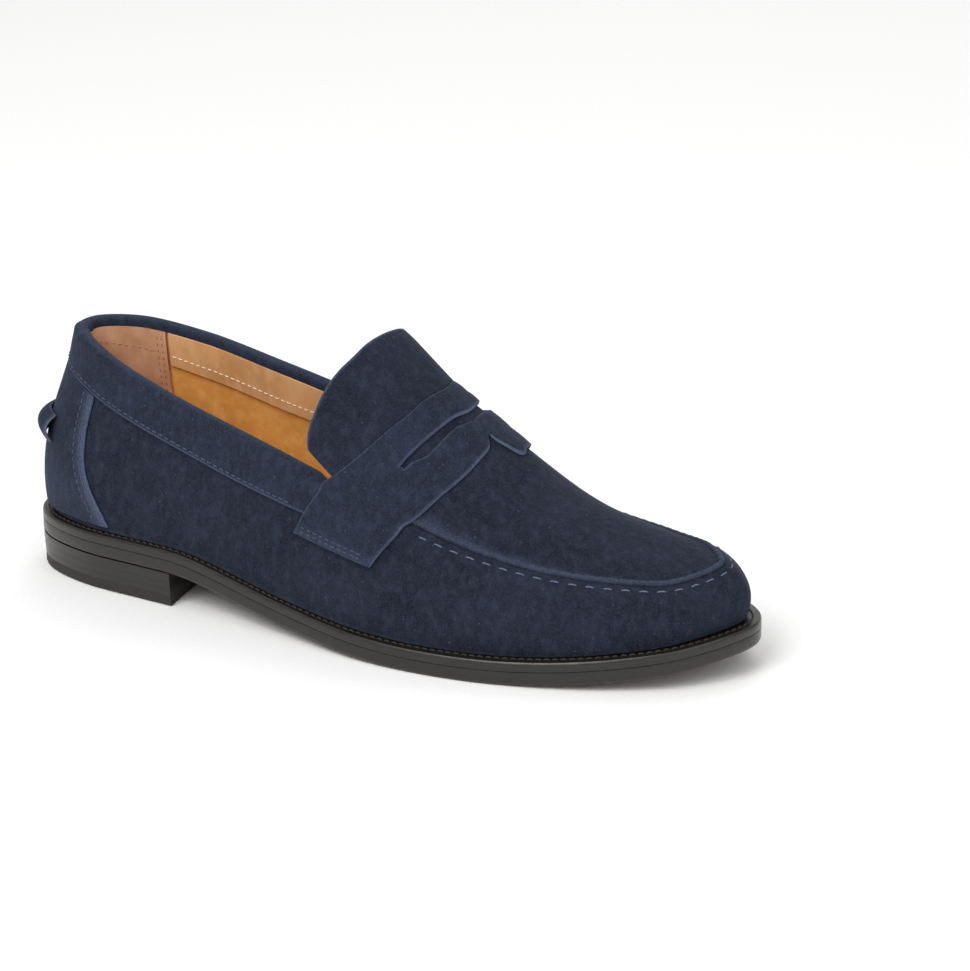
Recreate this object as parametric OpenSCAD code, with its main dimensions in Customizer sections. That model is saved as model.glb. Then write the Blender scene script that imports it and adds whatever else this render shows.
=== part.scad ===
// Penny loafer, right shoe, men's size. All sizes in millimetres.
// X runs from heel to toe, Y to the inner (medial) side, Z up.
// The origin is the middle of the heel's ground face.

/* [Whole shoe] */
// Length of the sole from heel back to toe tip
sole_length = 301; // [240:1:330]
// Width of the sole across the ball of the foot
sole_width = 103; // [85:1:120]
// Height of the heel under the outsole
heel_height = 13.5; // [9:0.5:20]
// Length of the heel from its back to the breast line
heel_length = 76; // [60:1:90]
// Height the sole tip is lifted off the ground
toe_spring = 10.5; // [4:0.5:16]
// Height of the topline over the ground at the heel back
collar_height = 97; // [84:0.5:108]

/* [Sole] */
// Thickness of the outsole
outsole_thickness = 5.2; // [4:0.1:8]
// Thickness of the welt
welt_thickness = 3.8; // [2.5:0.1:5]
// Width of the welt shelf at the forepart
welt_shelf = 5.3; // [3:0.1:8]
// Thickness of the rubber top lift
top_lift_thickness = 4.2; // [3:0.1:5]
// Diameter of a heel nail
nail_diameter = 1.8; // [1:0.1:3]

/* [Upper] */
// Thickness of the suede
suede = 1.3; // [1:0.1:1.5]
// Thickness of the lining leather
lining = 0.8; // [0.5:0.1:0.9]
// Height of the rounded roll along the topline
roll_height = 3.1; // [2:0.1:4]
// Radius of the raised apron seam
ridge_radius = 1.2; // [0.8:0.1:1.4]
// Crown height of the instep arch
instep_crown = 37; // [30:0.5:40]

/* [Strap and tongue] */
// Height of each strap end above the welt, as a share of the wall
strap_end = 0.45; // [0.38:0.01:0.5]
// Length of the tongue in front of the strap
tongue_length = 30; // [22:0.5:36]
// Half width of the tongue
tongue_half = 33.5; // [28:0.5:33.5]

/* [Output] */
// Node to show

/* [Hidden] */
origin_x = heel_length / 2;
half_turn = 11;
full_turn = 22;
tip = 0.04;
gap = 0.2;
skin = 0.3;
pad_in = suede + gap;
pad_out = suede + gap + 1.1;
lining_in = pad_out + gap;
lining_out = lining_in + lining;
facing_in = lining_out + gap;
facing_out = facing_in + lining;

// One row per station along the sole, heel back to toe tip:
// place, half width, sideways shift, welt shelf, inset of the top edge (outer, inner side),
// height of the top edge (outer, inner side), bulge, shoulder roundness, arch crown.
// Places and sizes are shares of the sizes above.
STATIONS = [
    [0.000, 0.000, -1.0, 0.75, 13.8, 13.8, 1.000, 1.000, 5.5, 0.10, 1.03],
    [0.030, 0.350,  0.0, 0.72, 12.0, 12.0, 1.000, 1.008, 5.5, 0.10, 1.03],
    [0.106, 0.583,  1.0, 0.67,  8.0,  8.1, 0.961, 0.988, 4.5, 0.10, 1.03],
    [0.206, 0.660,  0.5, 0.64,  5.8,  6.4, 0.866, 0.938, 3.0, 0.10, 1.03],
    [0.322, 0.709, -1.0, 0.64,  6.8,  7.8, 0.762, 0.861, 2.5, 0.20, 1.03],
    [0.439, 0.825, -2.3, 0.60,  9.2, 10.6, 0.680, 0.758, 2.5, 0.40, 1.03],
    [0.555, 0.951, -2.8, 0.79, 11.2, 13.5, 0.588, 0.637, 3.0, 0.60, 1.00],
    [0.671, 1.000, -0.6, 0.94, 11.8, 15.0, 0.478, 0.513, 3.5, 0.80, 0.70],
    [0.777, 0.942,  1.8, 1.00, 11.5, 15.0, 0.408, 0.445, 3.5, 0.85, 0.35],
    [0.877, 0.777,  3.8, 1.02, 10.8, 13.8, 0.376, 0.421, 3.5, 0.85, 0.18],
    [0.953, 0.515,  5.0, 1.00,  9.6, 11.2, 0.374, 0.414, 3.5, 0.85, 0.06],
    [1.000, 0.000,  6.0, 0.98,  9.5,  9.5, 0.412, 0.412, 3.5, 0.85, 0.00]];

function station_row(s, side) = [
    s[0] * sole_length,
    s[2] + side * s[1] * sole_width / 2,
    s[3] * welt_shelf,
    side < 0 ? s[4] : s[5],
    (side < 0 ? s[6] : s[7]) * collar_height,
    s[8], s[9], s[10] * instep_crown];
// Closed ring of rows: heel back, outer side, toe tip, inner side.
RING = concat([for (s = STATIONS) station_row(s, -1)],
    [for (k = [half_turn - 1:-1:1]) station_row(STATIONS[k], 1)]);

// Smooth curve through a closed list of rows, and its slope, at place t.
function turn(t) = t - full_turn * floor(t / full_turn);
function ring_at(t) = let (k = turn(t), i = floor(k), f = k - i,
    a = RING[(i + 21) % 22], b = RING[i % 22], c = RING[(i + 1) % 22], d = RING[(i + 2) % 22])
    0.5 * (2 * b + (c - a) * f + (2 * a - 5 * b + 4 * c - d) * f * f
    + (3 * b - a - 3 * c + d) * f * f * f);
function ring_slope(t) = let (k = turn(t), i = floor(k), f = k - i,
    a = RING[(i + 21) % 22], b = RING[i % 22], c = RING[(i + 1) % 22], d = RING[(i + 2) % 22])
    0.5 * ((c - a) + 2 * (2 * a - 5 * b + 4 * c - d) * f + 3 * (3 * b - a - 3 * c + d) * f * f);
function unit(v) = v / norm(v);
function mix(a, b, f) = a * (1 - f) + b * f;
function side_normal(t) = let (d = ring_slope(t)) unit([d[1], -d[0]]);

// Height of the outsole's underside over the ground: heel, waist and toe spring.
waist_end = 0.631 * sole_length;
ball_end = 0.684 * sole_length;
function ramp(d) = d <= -10 ? 0 : d < 10 ? (d + 10) * (d + 10) / 40 : d;
function sole_z(x) =
    let (u = min(ramp(x - heel_length - 4) / (waist_end - heel_length), 1),
        w = min(max((x - ball_end) / (sole_length - ball_end), 0), 1.2))
    heel_height * pow(1 - u, 1.8) + toe_spring * w * w;
seat = outsole_thickness + welt_thickness;
// Rise of the top edge over the welt for a row of the ring.
function rise_of(r) = r[4] - sole_z(r[0]) - seat - 0.1;

// Sole outline moved inward by inset.
function outline(t, inset = 0) = let (r = ring_at(t), n = side_normal(t))
    [r[0] - n[0] * inset, r[1] - n[1] * inset];
function feather(t, inset = 0) = outline(t, ring_at(t)[2] + inset);

// Side wall of the upper: t runs round the shoe, v from welt (0) to top edge (1),
// depth is measured inward from the outer face.
function wall(t, v, depth = 0) =
    let (r = ring_at(t), n = side_normal(t), a = r[3], h = rise_of(r), b = r[5], s = r[6],
        f = [r[0] - n[0] * r[2], r[1] - n[1] * r[2]], e = 1 - v,
        p1 = [b, 0.45 * h], p2 = [-a * (1 - s), h * (0.7 + 0.25 * s)], p3 = [-a, h],
        p = 3 * v * e * e * p1 + 3 * v * v * e * p2 + v * v * v * p3,
        g = unit(3 * e * e * p1 + 6 * v * e * (p2 - p1) + 3 * v * v * (p3 - p2)),
        q = p - depth * [g[1], -g[0]])
    [f[0] + n[0] * q[0], f[1] + n[1] * q[0], sole_z(r[0]) + seat + 0.1 + q[1]];
// Share of v that spans a given length in millimetres next to the top edge.
function top_share(t, length) = let (r = ring_at(t))
    length / (3 * norm([r[3] * r[6], rise_of(r) * (0.3 - 0.25 * r[6])]));

// Arch from the outer top edge (w = 0) to the inner top edge (w = 1) over the foot.
function chord(t) = norm(wall(full_turn - t, 1) - wall(t, 1));
function arch(t, w, depth = 0) =
    let (p = wall(t, 1), e = wall(full_turn - t, 1) - p, c = ring_at(t)[7], k = abs(2 * w - 1),
        rise = c * (1 - pow(k, 2.2)), slope = -4.4 * c * pow(k, 1.2) * sign(2 * w - 1),
        al = atan2(slope, norm(e)), u = unit(e))
    p + e * w + [0, 0, rise] - depth * (-u * sin(al) + [0, 0, cos(al)]);
// The whole upper from the outer welt (0) over the arch (1 to 2) to the inner welt (3).
function girth(t, g, depth = 0) = g < 1 ? wall(t, g, depth)
    : g <= 2 ? arch(t, g - 1, depth) : wall(full_turn - t, 3 - g, depth);

// Solid between an outer and an inner grid of points; drop lists cells [i, j] left out for slots.
module sheet(outer, inner, ring = false, drop = []) {
    ni = len(outer);
    nj = len(outer[0]);
    ci = ring ? ni : ni - 1;
    base = ni * nj;
    function at(i, j) = (i % ni) * nj + j;
    function has(i, j) = (ring || (i >= 0 && i < ci)) && j >= 0 && j < nj - 1
        && len([for (d = drop) if (d[0] == (i + ci) % ci && d[1] == j) 1]) == 0;
    points = concat([for (row = outer) for (p = row) p], [for (row = inner) for (p = row) p]);
    faces = [for (i = [0:ci - 1]) for (j = [0:nj - 2]) if (has(i, j))
        let (a = at(i, j), b = at(i, j + 1), c = at(i + 1, j + 1), d = at(i + 1, j))
        each concat(
            [[a, b, c], [a, c, d], [base + a, base + c, base + b], [base + a, base + d, base + c]],
            has(i, j - 1) ? [] : [[a, d, base + d], [a, base + d, base + a]],
            has(i, j + 1) ? [] : [[c, b, base + b], [c, base + b, base + c]],
            has(i - 1, j) ? [] : [[b, a, base + a], [b, base + a, base + b]],
            has(i + 1, j) ? [] : [[d, c, base + c], [d, base + c, base + d]])];
    translate([-origin_x, 0, 0]) polyhedron(points, faces, convexity = 6);
}

// Solid swept through a list of cross sections with equal point counts.
module sweep(sections, ring = false) {
    n = len(sections);
    k = len(sections[0]);
    function at(i, j) = (i % n) * k + j % k;
    sides = [for (i = [0:(ring ? n : n - 1) - 1]) for (j = [0:k - 1])
        each [[at(i, j), at(i + 1, j + 1), at(i, j + 1)], [at(i, j), at(i + 1, j), at(i + 1, j + 1)]]];
    caps = ring ? [] : concat([for (j = [1:k - 2]) [0, j, j + 1]],
        [for (j = [1:k - 2]) [at(n - 1, 0), at(n - 1, j + 1), at(n - 1, j)]]);
    translate([-origin_x, 0, 0])
        polyhedron([for (s = sections) for (p = s) p], concat(sides, caps), convexity = 6);
}

// Row of thread dashes; each dash is [centre, along, outward], half sizes in size.
module dashes(list, size) {
    signs = [[-1, -1, -1], [1, -1, -1], [1, 1, -1], [-1, 1, -1],
        [-1, -1, 1], [1, -1, 1], [1, 1, 1], [-1, 1, 1]];
    quads = [[0, 1, 2, 3], [7, 6, 5, 4], [1, 0, 4, 5], [2, 1, 5, 6], [3, 2, 6, 7], [0, 3, 7, 4]];
    points = [for (s = list) let (a = unit(s[1]), o = unit(s[2] - a * (a * s[2])), b = cross(a, o))
        for (g = signs) s[0] + a * g[0] * size[0] + b * g[1] * size[1] + o * g[2] * size[2]];
    faces = [for (i = [0:len(list) - 1]) for (q = quads)
        each [[q[0] + 8 * i, q[2] + 8 * i, q[1] + 8 * i], [q[0] + 8 * i, q[3] + 8 * i, q[2] + 8 * i]]];
    translate([-origin_x, 0, 0]) polyhedron(points, faces, convexity = 4);
}
// Dash lying on the upper at (t, g), dt and dg giving its direction.
function dash(t, g, dt, dg, lift) = [girth(t, g, -lift),
    girth(t + dt, g + dg) - girth(t - dt, g - dg), girth(t, g, -1) - girth(t, g)];

// Layer of the side wall between two depths over a grid of places [t, v].
module wall_sheet(grid, near, far, ring = false) {
    sheet([for (row = grid) [for (p = row) wall(p[0], p[1], near)]],
        [for (row = grid) [for (p = row) wall(p[0], p[1], far)]], ring);
}
// Places round the shoe in quarter steps, so that stacked layers keep the same facets.
function steps(t0, t1) = [t0, for (k = [ceil(4 * t0 + 0.2):floor(4 * t1 - 0.2)]) k / 4, t1];
// Full height layer from v0 to a set distance under the top edge, on shared rows.
function tall_grid(ts, v0, below) = [for (t = ts)
    [[t, v0], for (k = [1:7]) [t, k / 8], [t, 1 - top_share(t, below)]]];
// Layer that follows the collar band, starting a share above the band's foot.
function band_grid(ts, n, above) = [for (t = ts) let (a = band_foot(t) + above,
    b = 1 - top_share(t, roll_gap)) [for (j = [0:n]) [t, mix(a, b, j / n)]]];

// Flat layer across the shoe between heights z0 and z1 over the sole's curve.
module floor_layer(t0, t1, n, inset, z0, z1, from_feather = true) {
    ts = [for (i = [0:n]) mix(t0, t1, i / n)];
    function edge(t) = from_feather ? feather(t, inset) : outline(t, inset);
    function grid(z) = [for (t = ts) let (a = edge(t), b = edge(full_turn - t))
        [for (j = [0:2]) let (p = mix(a, b, j / 2)) [p[0], p[1], sole_z(p[0]) + z]]];
    sheet(grid(z1), grid(z0));
}

// ---- heel ----
breast_t = 3.4;
function heel_outline(inset) = concat(
    [for (i = [-16:16]) outline(i * breast_t / 16, inset)],
    [for (k = [1:5]) let (a = outline(breast_t, inset), b = outline(-breast_t, inset), f = k / 6)
        mix(a, b, f) - [4 * sin(180 * f), 0]]);
NAILS = [[14, 0], [24, 19], [24, -19], [48, 22], [48, -22]];
module heel_slab(z0, z1, inset) {
    translate([-origin_x, 0, z0]) linear_extrude(z1 - z0) polygon(heel_outline(inset));
}
module nail_bores(z0, z1, d) {
    for (p = NAILS) translate([p[0] - origin_x, p[1], z0]) cylinder(h = z1 - z0, d = d, $fn = 24);
}
lift = (heel_height - 0.25 - top_lift_thickness) / 3;
module top_lift() color("#26201d") difference() {
    heel_slab(0, top_lift_thickness, 0.9);
    nail_bores(-1, top_lift_thickness + 1, nail_diameter + 0.3);
}
module heel_lift(k) color("#2a2320") difference() {
    z = top_lift_thickness + k * lift;
    heel_slab(z + 0.08, z + lift - 0.02, 0.7 - 0.2 * k);
    nail_bores(z - 1, z + lift + 1, nail_diameter + 0.3);
}
module heel_nails() color("#b08a45") nail_bores(0.6, heel_height - 0.4, nail_diameter);

// ---- sole ----
module outsole() color("#2b2420") floor_layer(tip, half_turn - tip, 44, 0, 0, outsole_thickness, false);
module welt() color("#2e2622") {
    low = outsole_thickness + 0.08;
    sweep([for (i = [0:87]) let (t = i / 4, a = outline(t, 0.2), b = outline(t, 9.5))
        [[a[0], a[1], sole_z(a[0]) + low], [a[0], a[1], sole_z(a[0]) + seat - 0.5],
        [mix(a, b, 0.06)[0], mix(a, b, 0.06)[1], sole_z(a[0]) + seat],
        [b[0], b[1], sole_z(b[0]) + seat], [b[0], b[1], sole_z(b[0]) + low]]], true);
}
module welt_stitches() color("#4a4038")
    dashes([for (i = [0:87]) let (t = i / 4, a = outline(t, ring_at(t)[2] * 0.5), s = ring_slope(t))
        [[a[0], a[1], sole_z(a[0]) + seat + 0.4], [s[0], s[1], (sole_z(a[0] + s[0] / 9)
        - sole_z(a[0] - s[0] / 9)) * 4.5], [0, 0, 1]]], [2.0, 0.3, 0.25]);
module cork_filler() color("#a8845c")
    floor_layer(5.8, 10.9, 20, 10, outsole_thickness + 0.15, seat - 0.2, false);
module shank() {
    xs = [for (i = [0:10]) 56 + 92 * i / 10];
    function grid(z) = [for (x = xs) [for (j = [0:2]) [x, 7 * (j - 1) - 0.8, sole_z(x) + z]]];
    color("#8f9499") sheet(grid(outsole_thickness + 2), grid(outsole_thickness + 0.5));
}
module insole() color("#b98d63")
    floor_layer(tip, half_turn - tip, 33, facing_out + 0.8, seat + 0.2, seat + 2.2);
module sock_lining() color("#c98f4a")
    floor_layer(tip, half_turn - tip, 33, facing_out + 1, seat + 2.35, seat + 3.4);
module heel_pad() color("#cf9a5c") floor_layer(tip, 3.3, 12, facing_out + 5, seat + 3.5, seat + 5);

// ---- upper ----
// Lower edge of the collar band, and top gap of the wall (roll behind, seam ridge in front).
function around(t) = let (k = turn(t)) min(k, full_turn - k);
function band_foot(t) =
    lookup(around(t), [[0, 0.765], [1, 0.755], [2, 0.712], [3, 0.663], [4, 0.612], [6, 0.608]]);
roll_gap = roll_height + 0.2;
ridge_gap = ridge_radius + 0.3;
function wall_top(t) = 1 - top_share(t, lookup(around(t), [[5.2, roll_gap], [5.7, ridge_gap]]));
module vamp_wall() color("#26324c") wall_sheet([for (i = [0:87]) let (t = i / 4)
    [[t, 0.004], for (k = [1:7]) [t, k / 8], [t, wall_top(t)]]], 0, suede, true);
module heel_counter() color("#c9b08a") wall_sheet([for (t = steps(-3, 3))
    [[t, 0.03], for (k = [1:5]) [t, k / 8], [t, band_foot(t) - 0.02]]], pad_in, pad_out);
module toe_puff() color("#c9b08a") wall_sheet(tall_grid(steps(9.25, 12.75), 0.04, 3), pad_in, pad_out);
module collar_padding() color("#d8c9ae") wall_sheet(band_grid(steps(-5, 5), 2, 0), pad_in, pad_out);
module vamp_lining() color("#c9a06a")
    wall_sheet(tall_grid(steps(5.5, 16.5), 0.03, 2.2), lining_in, lining_out);
module quarter_lining() color("#c58a3c")
    wall_sheet(tall_grid(steps(-5.25, 5.25), 0.03, roll_gap), lining_in, lining_out);
module heel_grip() color("#c99878")
    wall_sheet(tall_grid(steps(-2.35, 2.35), 0.06, roll_gap), facing_in, facing_out);
module heel_grip_stitches() color("#e6d3b4")
    dashes([for (side = [-1, 1]) for (row = [0, 1]) for (k = [0:6])
        dash(side * (2.28 - 0.09 * row), 0.3 + k * 0.09, 0, 0.01, -facing_out - 0.4)], [1.2, 0.25, 0.2]);
facing_low = 0.03;
module facing_lateral() color("#cfa06c")
    wall_sheet(band_grid(steps(2.39, 5.25), 2, facing_low), facing_in, facing_out);
module facing_medial() color("#cfa06c")
    wall_sheet(band_grid(steps(-5.25, -2.39), 2, facing_low), facing_in, facing_out);
module facing_stitches() color("#eedfc2")
    dashes([for (side = [-1, 1]) for (k = [0:21]) let (t = side * (2.5 + k * 0.123),
        v = band_foot(t) + facing_low + 5 / rise_of(ring_at(t)))
        dash(t, v, 0.02, -0.001 * side, -facing_out - 0.4)],
        [1.4, 0.25, 0.2]);
module collar_band() color("#2a3752") wall_sheet(band_grid(steps(-5, 5), 4, 0), -suede - skin, -skin);
module collar_stitches() color("#31405e")
    dashes([for (k = [-28:28]) let (t = k * 0.174)
        dash(t, band_foot(t) + 0.035, 0.02, 0, suede + skin + 0.45)], [1.6, 0.25, 0.2]);
// Rounded roll that caps the collar along the topline.
module topline_roll() color("#2a3752") {
    arc = [for (k = [0:6]) [(1 + cos(30 * k)) / 2, sin(30 * k)]];
    sweep([for (i = [-30:30]) let (t = i * 0.17, v = 1 - top_share(t, roll_gap),
        a = wall(t, v, facing_out), b = wall(t, v, -suede - skin), up = unit(wall(t, 1) - wall(t, v)))
        [for (p = arc) mix(a, b, p[0]) + up * (0.36 + roll_height * p[1])]]);
}
// Front edge of the heel strip on one side.
function strip_edge(v) =
    lookup(v, [[0, 2.5], [0.1, 2.34], [0.2, 2.16], [0.3, 2.05], [0.42, 2.02], [0.72, 2.1]]);
module heel_strip() color("#2a3752") {
    rows = [for (i = [0:20]) [for (j = [0:8]) let (v = mix(0.03, 0.71, j / 8),
        t = strip_edge(v) * (i / 10 - 1)) [t, mix(0.03, band_foot(t) - 0.015, j / 8)]]];
    sheet([for (row = rows) [for (p = row) wall(p[0], p[1], -suede - skin)]],
        [for (row = rows) [for (p = row) wall(p[0], p[1], -skin)]]);
}
module heel_strip_stitches() color("#3b4a68")
    dashes([for (side = [-1, 1]) for (row = [0, 1]) for (k = [0:10]) let (v = 0.06 + k * 0.058)
        dash(side * (strip_edge(v) - 0.09 - 0.1 * row), v, side * (strip_edge(v + 0.01)
        - strip_edge(v - 0.01)) / 2, 0.01, suede + skin + 0.45)], [1.4, 0.25, 0.2]);
// Loop of leather sewn at its top and bottom, open at both sides.
module pull_tab() {
    function stand(b) = 0.1 + 3.3 * sin(180 * b);
    function lay(depth) = [for (i = [0:12]) [for (j = [0:8])
        wall((i / 6 - 1) * 1.25, 0.33 + 0.14 * j / 8, -suede - 2 * skin - depth - stand(j / 8))]];
    color("#26324c") sheet(lay(1.1), lay(0));
}

// ---- apron ----
// Rear and front edge of the strap over the girth (mirrored past the middle for the rear).
REAR = [[0.3, 5.0], [0.45, 5.07], [0.6, 5.15], [0.8, 5.27], [1, 5.4], [1.08, 5.68], [1.15, 5.88],
    [1.23, 6.06], [1.34, 6.18], [1.48, 6.26], [1.5, 6.265]];
FRONT = [[0.45, 6.08], [0.75, 6.31], [0.96, 6.43], [1.05, 6.57], [1.11, 6.71], [1.2, 6.85], [1.3, 6.92],
    [1.4, 6.93], [1.46, 6.88], [1.49, 7.02], [1.52, 7.16], [1.57, 7.2], [1.63, 7.14], [1.75, 7.05],
    [1.9, 6.8], [2.04, 6.43], [2.25, 6.31], [2.55, 6.08]];
function rear_edge(g) = lookup(g > 1.5 ? 3 - g : g, REAR);
function front_edge(g) = lookup(g, FRONT);
function apron_grid(near, margin, t_end, depth, n, m) = [for (i = [0:n]) [for (j = [0:m])
    let (w = j / m, a = mix(rear_edge(1 + w) + near, t_end, pow(i / n, 0.85)),
        k = min(margin * (1 + max(a - 9, 0)) / chord(a), 0.4)) arch(a, mix(k, 1 - k, w), depth)]];
module apron() color("#26324c")
    sheet(apron_grid(0.06, ridge_gap, 10.55, 0, 28, 14), apron_grid(0.06, ridge_gap, 10.55, suede, 28, 14));
module apron_lining() color("#c9a06a")
    sheet(apron_grid(0.15, ridge_gap + 3, 10.2, pad_in + 0.3, 20, 10),
        apron_grid(0.15, ridge_gap + 3, 10.2, pad_in + 0.3 + lining, 20, 10));
// Raised ridge where wall and apron are sewn together.
module seam_ridge() color("#26324c")
    sweep([for (i = [0:62]) let (t = mix(6.56, 15.4, i / 62), a = wall(t, 1), n = side_normal(t))
        [for (k = [0:5]) a + [n[0] * cos(60 * k) * ridge_radius, n[1] * cos(60 * k) * ridge_radius,
        0.35 + ridge_radius * sin(60 * k)]]]);
module apron_stitches() color("#51607e")
    dashes([for (k = [0:53]) let (t = 6.5 + 9 * k / 53)
        dash(t, 1 - top_share(t, 4.2), 0.03, 0, 0.45)], [2.0, 0.35, 0.25]);

// ---- strap ----
SLOT_REAR = [[1.11, 6.17], [1.16, 6.26], [1.26, 6.4], [1.39, 6.5], [1.5, 6.55], [1.6, 6.52],
    [1.72, 6.42], [1.8, 6.3], [1.86, 6.2]];
SLOT_FRONT = [[1.11, 6.19], [1.13, 6.28], [1.16, 6.39], [1.24, 6.5], [1.35, 6.58], [1.45, 6.66],
    [1.5, 6.65], [1.6, 6.63], [1.72, 6.55], [1.8, 6.42], [1.86, 6.24]];
STRAP_G = concat([for (k = [0:10]) strap_end + (1.11 - strap_end) * k / 10],
    [1.13, 1.16, 1.2, 1.25, 1.3, 1.35, 1.4, 1.455, 1.475, 1.5, 1.53, 1.57, 1.61, 1.66, 1.72, 1.8],
    [for (k = [0:10]) 1.86 + (3 - strap_end - 1.86) * k / 10]);
function strap_rows(g) = let (a = rear_edge(g), b = front_edge(g),
    s = g > 1.109 && g < 1.861, p = s ? lookup(g, SLOT_REAR) : mix(a, b, 0.46),
    q = s ? lookup(g, SLOT_FRONT) : mix(a, b, 0.54))
    [a, mix(a, p, 0.5), p, q, mix(q, b, 0.5), b];
function strap_grid(depth) = [for (i = [0:5]) [for (g = STRAP_G) girth(strap_rows(g)[i], g, depth)]];
slot_cells = [for (j = [10:26]) [2, j]];
cut_cells = [[3, 18], [4, 18]];
module strap() color("#2a3752")
    sheet(strap_grid(-suede - skin - 0.5), strap_grid(-skin - 0.5), false, concat(slot_cells, cut_cells));
module strap_stitches() color("#3b4a68")
    dashes([for (g0 = [0, 1]) for (row = [0, 1]) for (k = [0:9])
        let (s = strap_end + 0.03 + 0.03 * row, g = g0 == 0 ? s : 3 - s)
        dash(5.18 + 0.084 * k, g, 0.01, 0, suede + skin + 1.1)], [1.1, 0.25, 0.2]);

// ---- tongue ----
// The tongue starts along the strap's rear edge and leans back over the opening.
LEAN = [-0.76, 0, 0.65];
function tongue_root(g) = girth(rear_edge(g), g, -suede - skin - 0.35);
function tongue_point(g, s, depth) =
    let (n = unit(cross(LEAN, tongue_root(g + 0.03) - tongue_root(g - 0.03))))
    tongue_root(g) + s * LEAN + depth * n;
// Free edge: squared off, and a little shorter on the inner side.
function tongue_reach(y) = let (k = min(abs(y + 3.2) / (tongue_half + 0.3), 1))
    tongue_length * pow(1 - pow(k, 6), 0.45) * (1 - 0.08 * min(max((y + 4) / 10, 0), 1));
function tongue_grid(inset, depth) = [for (i = [0:20]) let (f = i / 10 - 1,
    g = 1.523 + (0.537 - inset / 60) * sin(90 * f),
    reach = max(tongue_reach(tongue_root(g)[1]) - inset, 1.3 + inset / 2))
    [for (j = [0:6]) tongue_point(g, mix(0.65 + inset / 2, reach, j / 6), depth)]];
module tongue() color("#26324c") sheet(tongue_grid(0, 0), tongue_grid(0, suede));
module tongue_lining() color("#c9a06a")
    sheet(tongue_grid(0.8, suede + gap), tongue_grid(0.8, suede + gap + lining));

top_lift();
heel_lift(0);  // heel_lift_low
heel_lift(1);  // heel_lift_mid
heel_lift(2);  // heel_lift_high
heel_nails();
outsole();
welt();
welt_stitches();
cork_filler();
shank();
insole();
sock_lining();
heel_pad();
vamp_wall();
heel_counter();
toe_puff();
collar_padding();
vamp_lining();
quarter_lining();
heel_grip();
heel_grip_stitches();
facing_lateral();
facing_medial();
facing_stitches();
collar_band();
collar_stitches();
topline_roll();
heel_strip();
heel_strip_stitches();
pull_tab();
apron();
apron_lining();
seam_ridge();
apron_stitches();
strap();
strap_stitches();
tongue();
tongue_lining();
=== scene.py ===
"""Navy suede penny loafer: looks, studio and camera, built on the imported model's frame.

Shapes are worked out in millimetres from the back of the heel, then moved to the frame in metres.
"""

import logging
import math
from collections.abc import Callable
from dataclasses import dataclass, field
from enum import Enum
from typing import Any, ClassVar

import bmesh
import bpy
import numpy as np
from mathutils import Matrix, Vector


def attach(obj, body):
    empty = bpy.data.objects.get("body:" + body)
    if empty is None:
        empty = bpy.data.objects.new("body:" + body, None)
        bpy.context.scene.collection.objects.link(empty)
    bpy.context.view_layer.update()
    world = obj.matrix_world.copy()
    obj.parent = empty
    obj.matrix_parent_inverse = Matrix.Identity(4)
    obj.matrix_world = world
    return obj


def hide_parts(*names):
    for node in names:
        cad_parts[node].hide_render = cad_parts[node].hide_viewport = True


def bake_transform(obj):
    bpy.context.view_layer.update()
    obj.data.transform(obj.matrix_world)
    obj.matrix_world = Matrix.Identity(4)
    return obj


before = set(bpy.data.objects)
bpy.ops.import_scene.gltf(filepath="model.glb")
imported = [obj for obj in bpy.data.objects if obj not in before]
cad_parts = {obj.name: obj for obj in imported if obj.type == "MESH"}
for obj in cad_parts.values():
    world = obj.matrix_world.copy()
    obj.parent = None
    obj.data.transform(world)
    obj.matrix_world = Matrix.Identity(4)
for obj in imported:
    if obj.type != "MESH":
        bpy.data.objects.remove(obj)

Array = np.ndarray
LOG = logging.getLogger("loafer")
MM = 0.001
SHOE = "shoe"
FLAP = "tongue_flap"


def linear(code: str) -> tuple[float, float, float, float]:
    """Turn an sRGB hex colour into linear values.

    Args:
        code: Colour such as "#26324c".

    Returns:
        Linear red, green, blue and an alpha of one.
    """
    parts = [int(code[i:i + 2], 16) / 255 for i in (1, 3, 5)]
    red, green, blue = [c / 12.92 if c <= 0.04045 else ((c + 0.055) / 1.055) ** 2.4 for c in parts]
    return red, green, blue, 1.0


def add_node(tree: bpy.types.NodeTree, kind: str, inputs: dict[Any, Any] | None = None,
             **settings: Any) -> bpy.types.Node:
    """Add one shader node with its settings and links.

    Args:
        tree: Node tree of the material.
        kind: Node type, such as "ShaderNodeTexNoise".
        inputs: Socket name or number to a value, or to the output that feeds it.
        **settings: Properties set on the node itself.

    Returns:
        The new node.
    """
    node = tree.nodes.new(kind)
    for name, value in settings.items():
        setattr(node, name, value)
    for name, value in (inputs or {}).items():
        if isinstance(value, bpy.types.NodeSocket):
            tree.links.new(value, node.inputs[name])
        else:
            node.inputs[name].default_value = value
    return node


# ---------------------------------------------------------------- finishes


def levels(pattern: bpy.types.NodeSocket, low: float, high: float, start: float = 0.0,
           end: float = 1.0) -> dict[str, Any]:
    """Inputs that stretch a pattern's low..high to start..end."""
    return {"Value": pattern, "From Min": low, "From Max": high, "To Min": start, "To Max": end}


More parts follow.
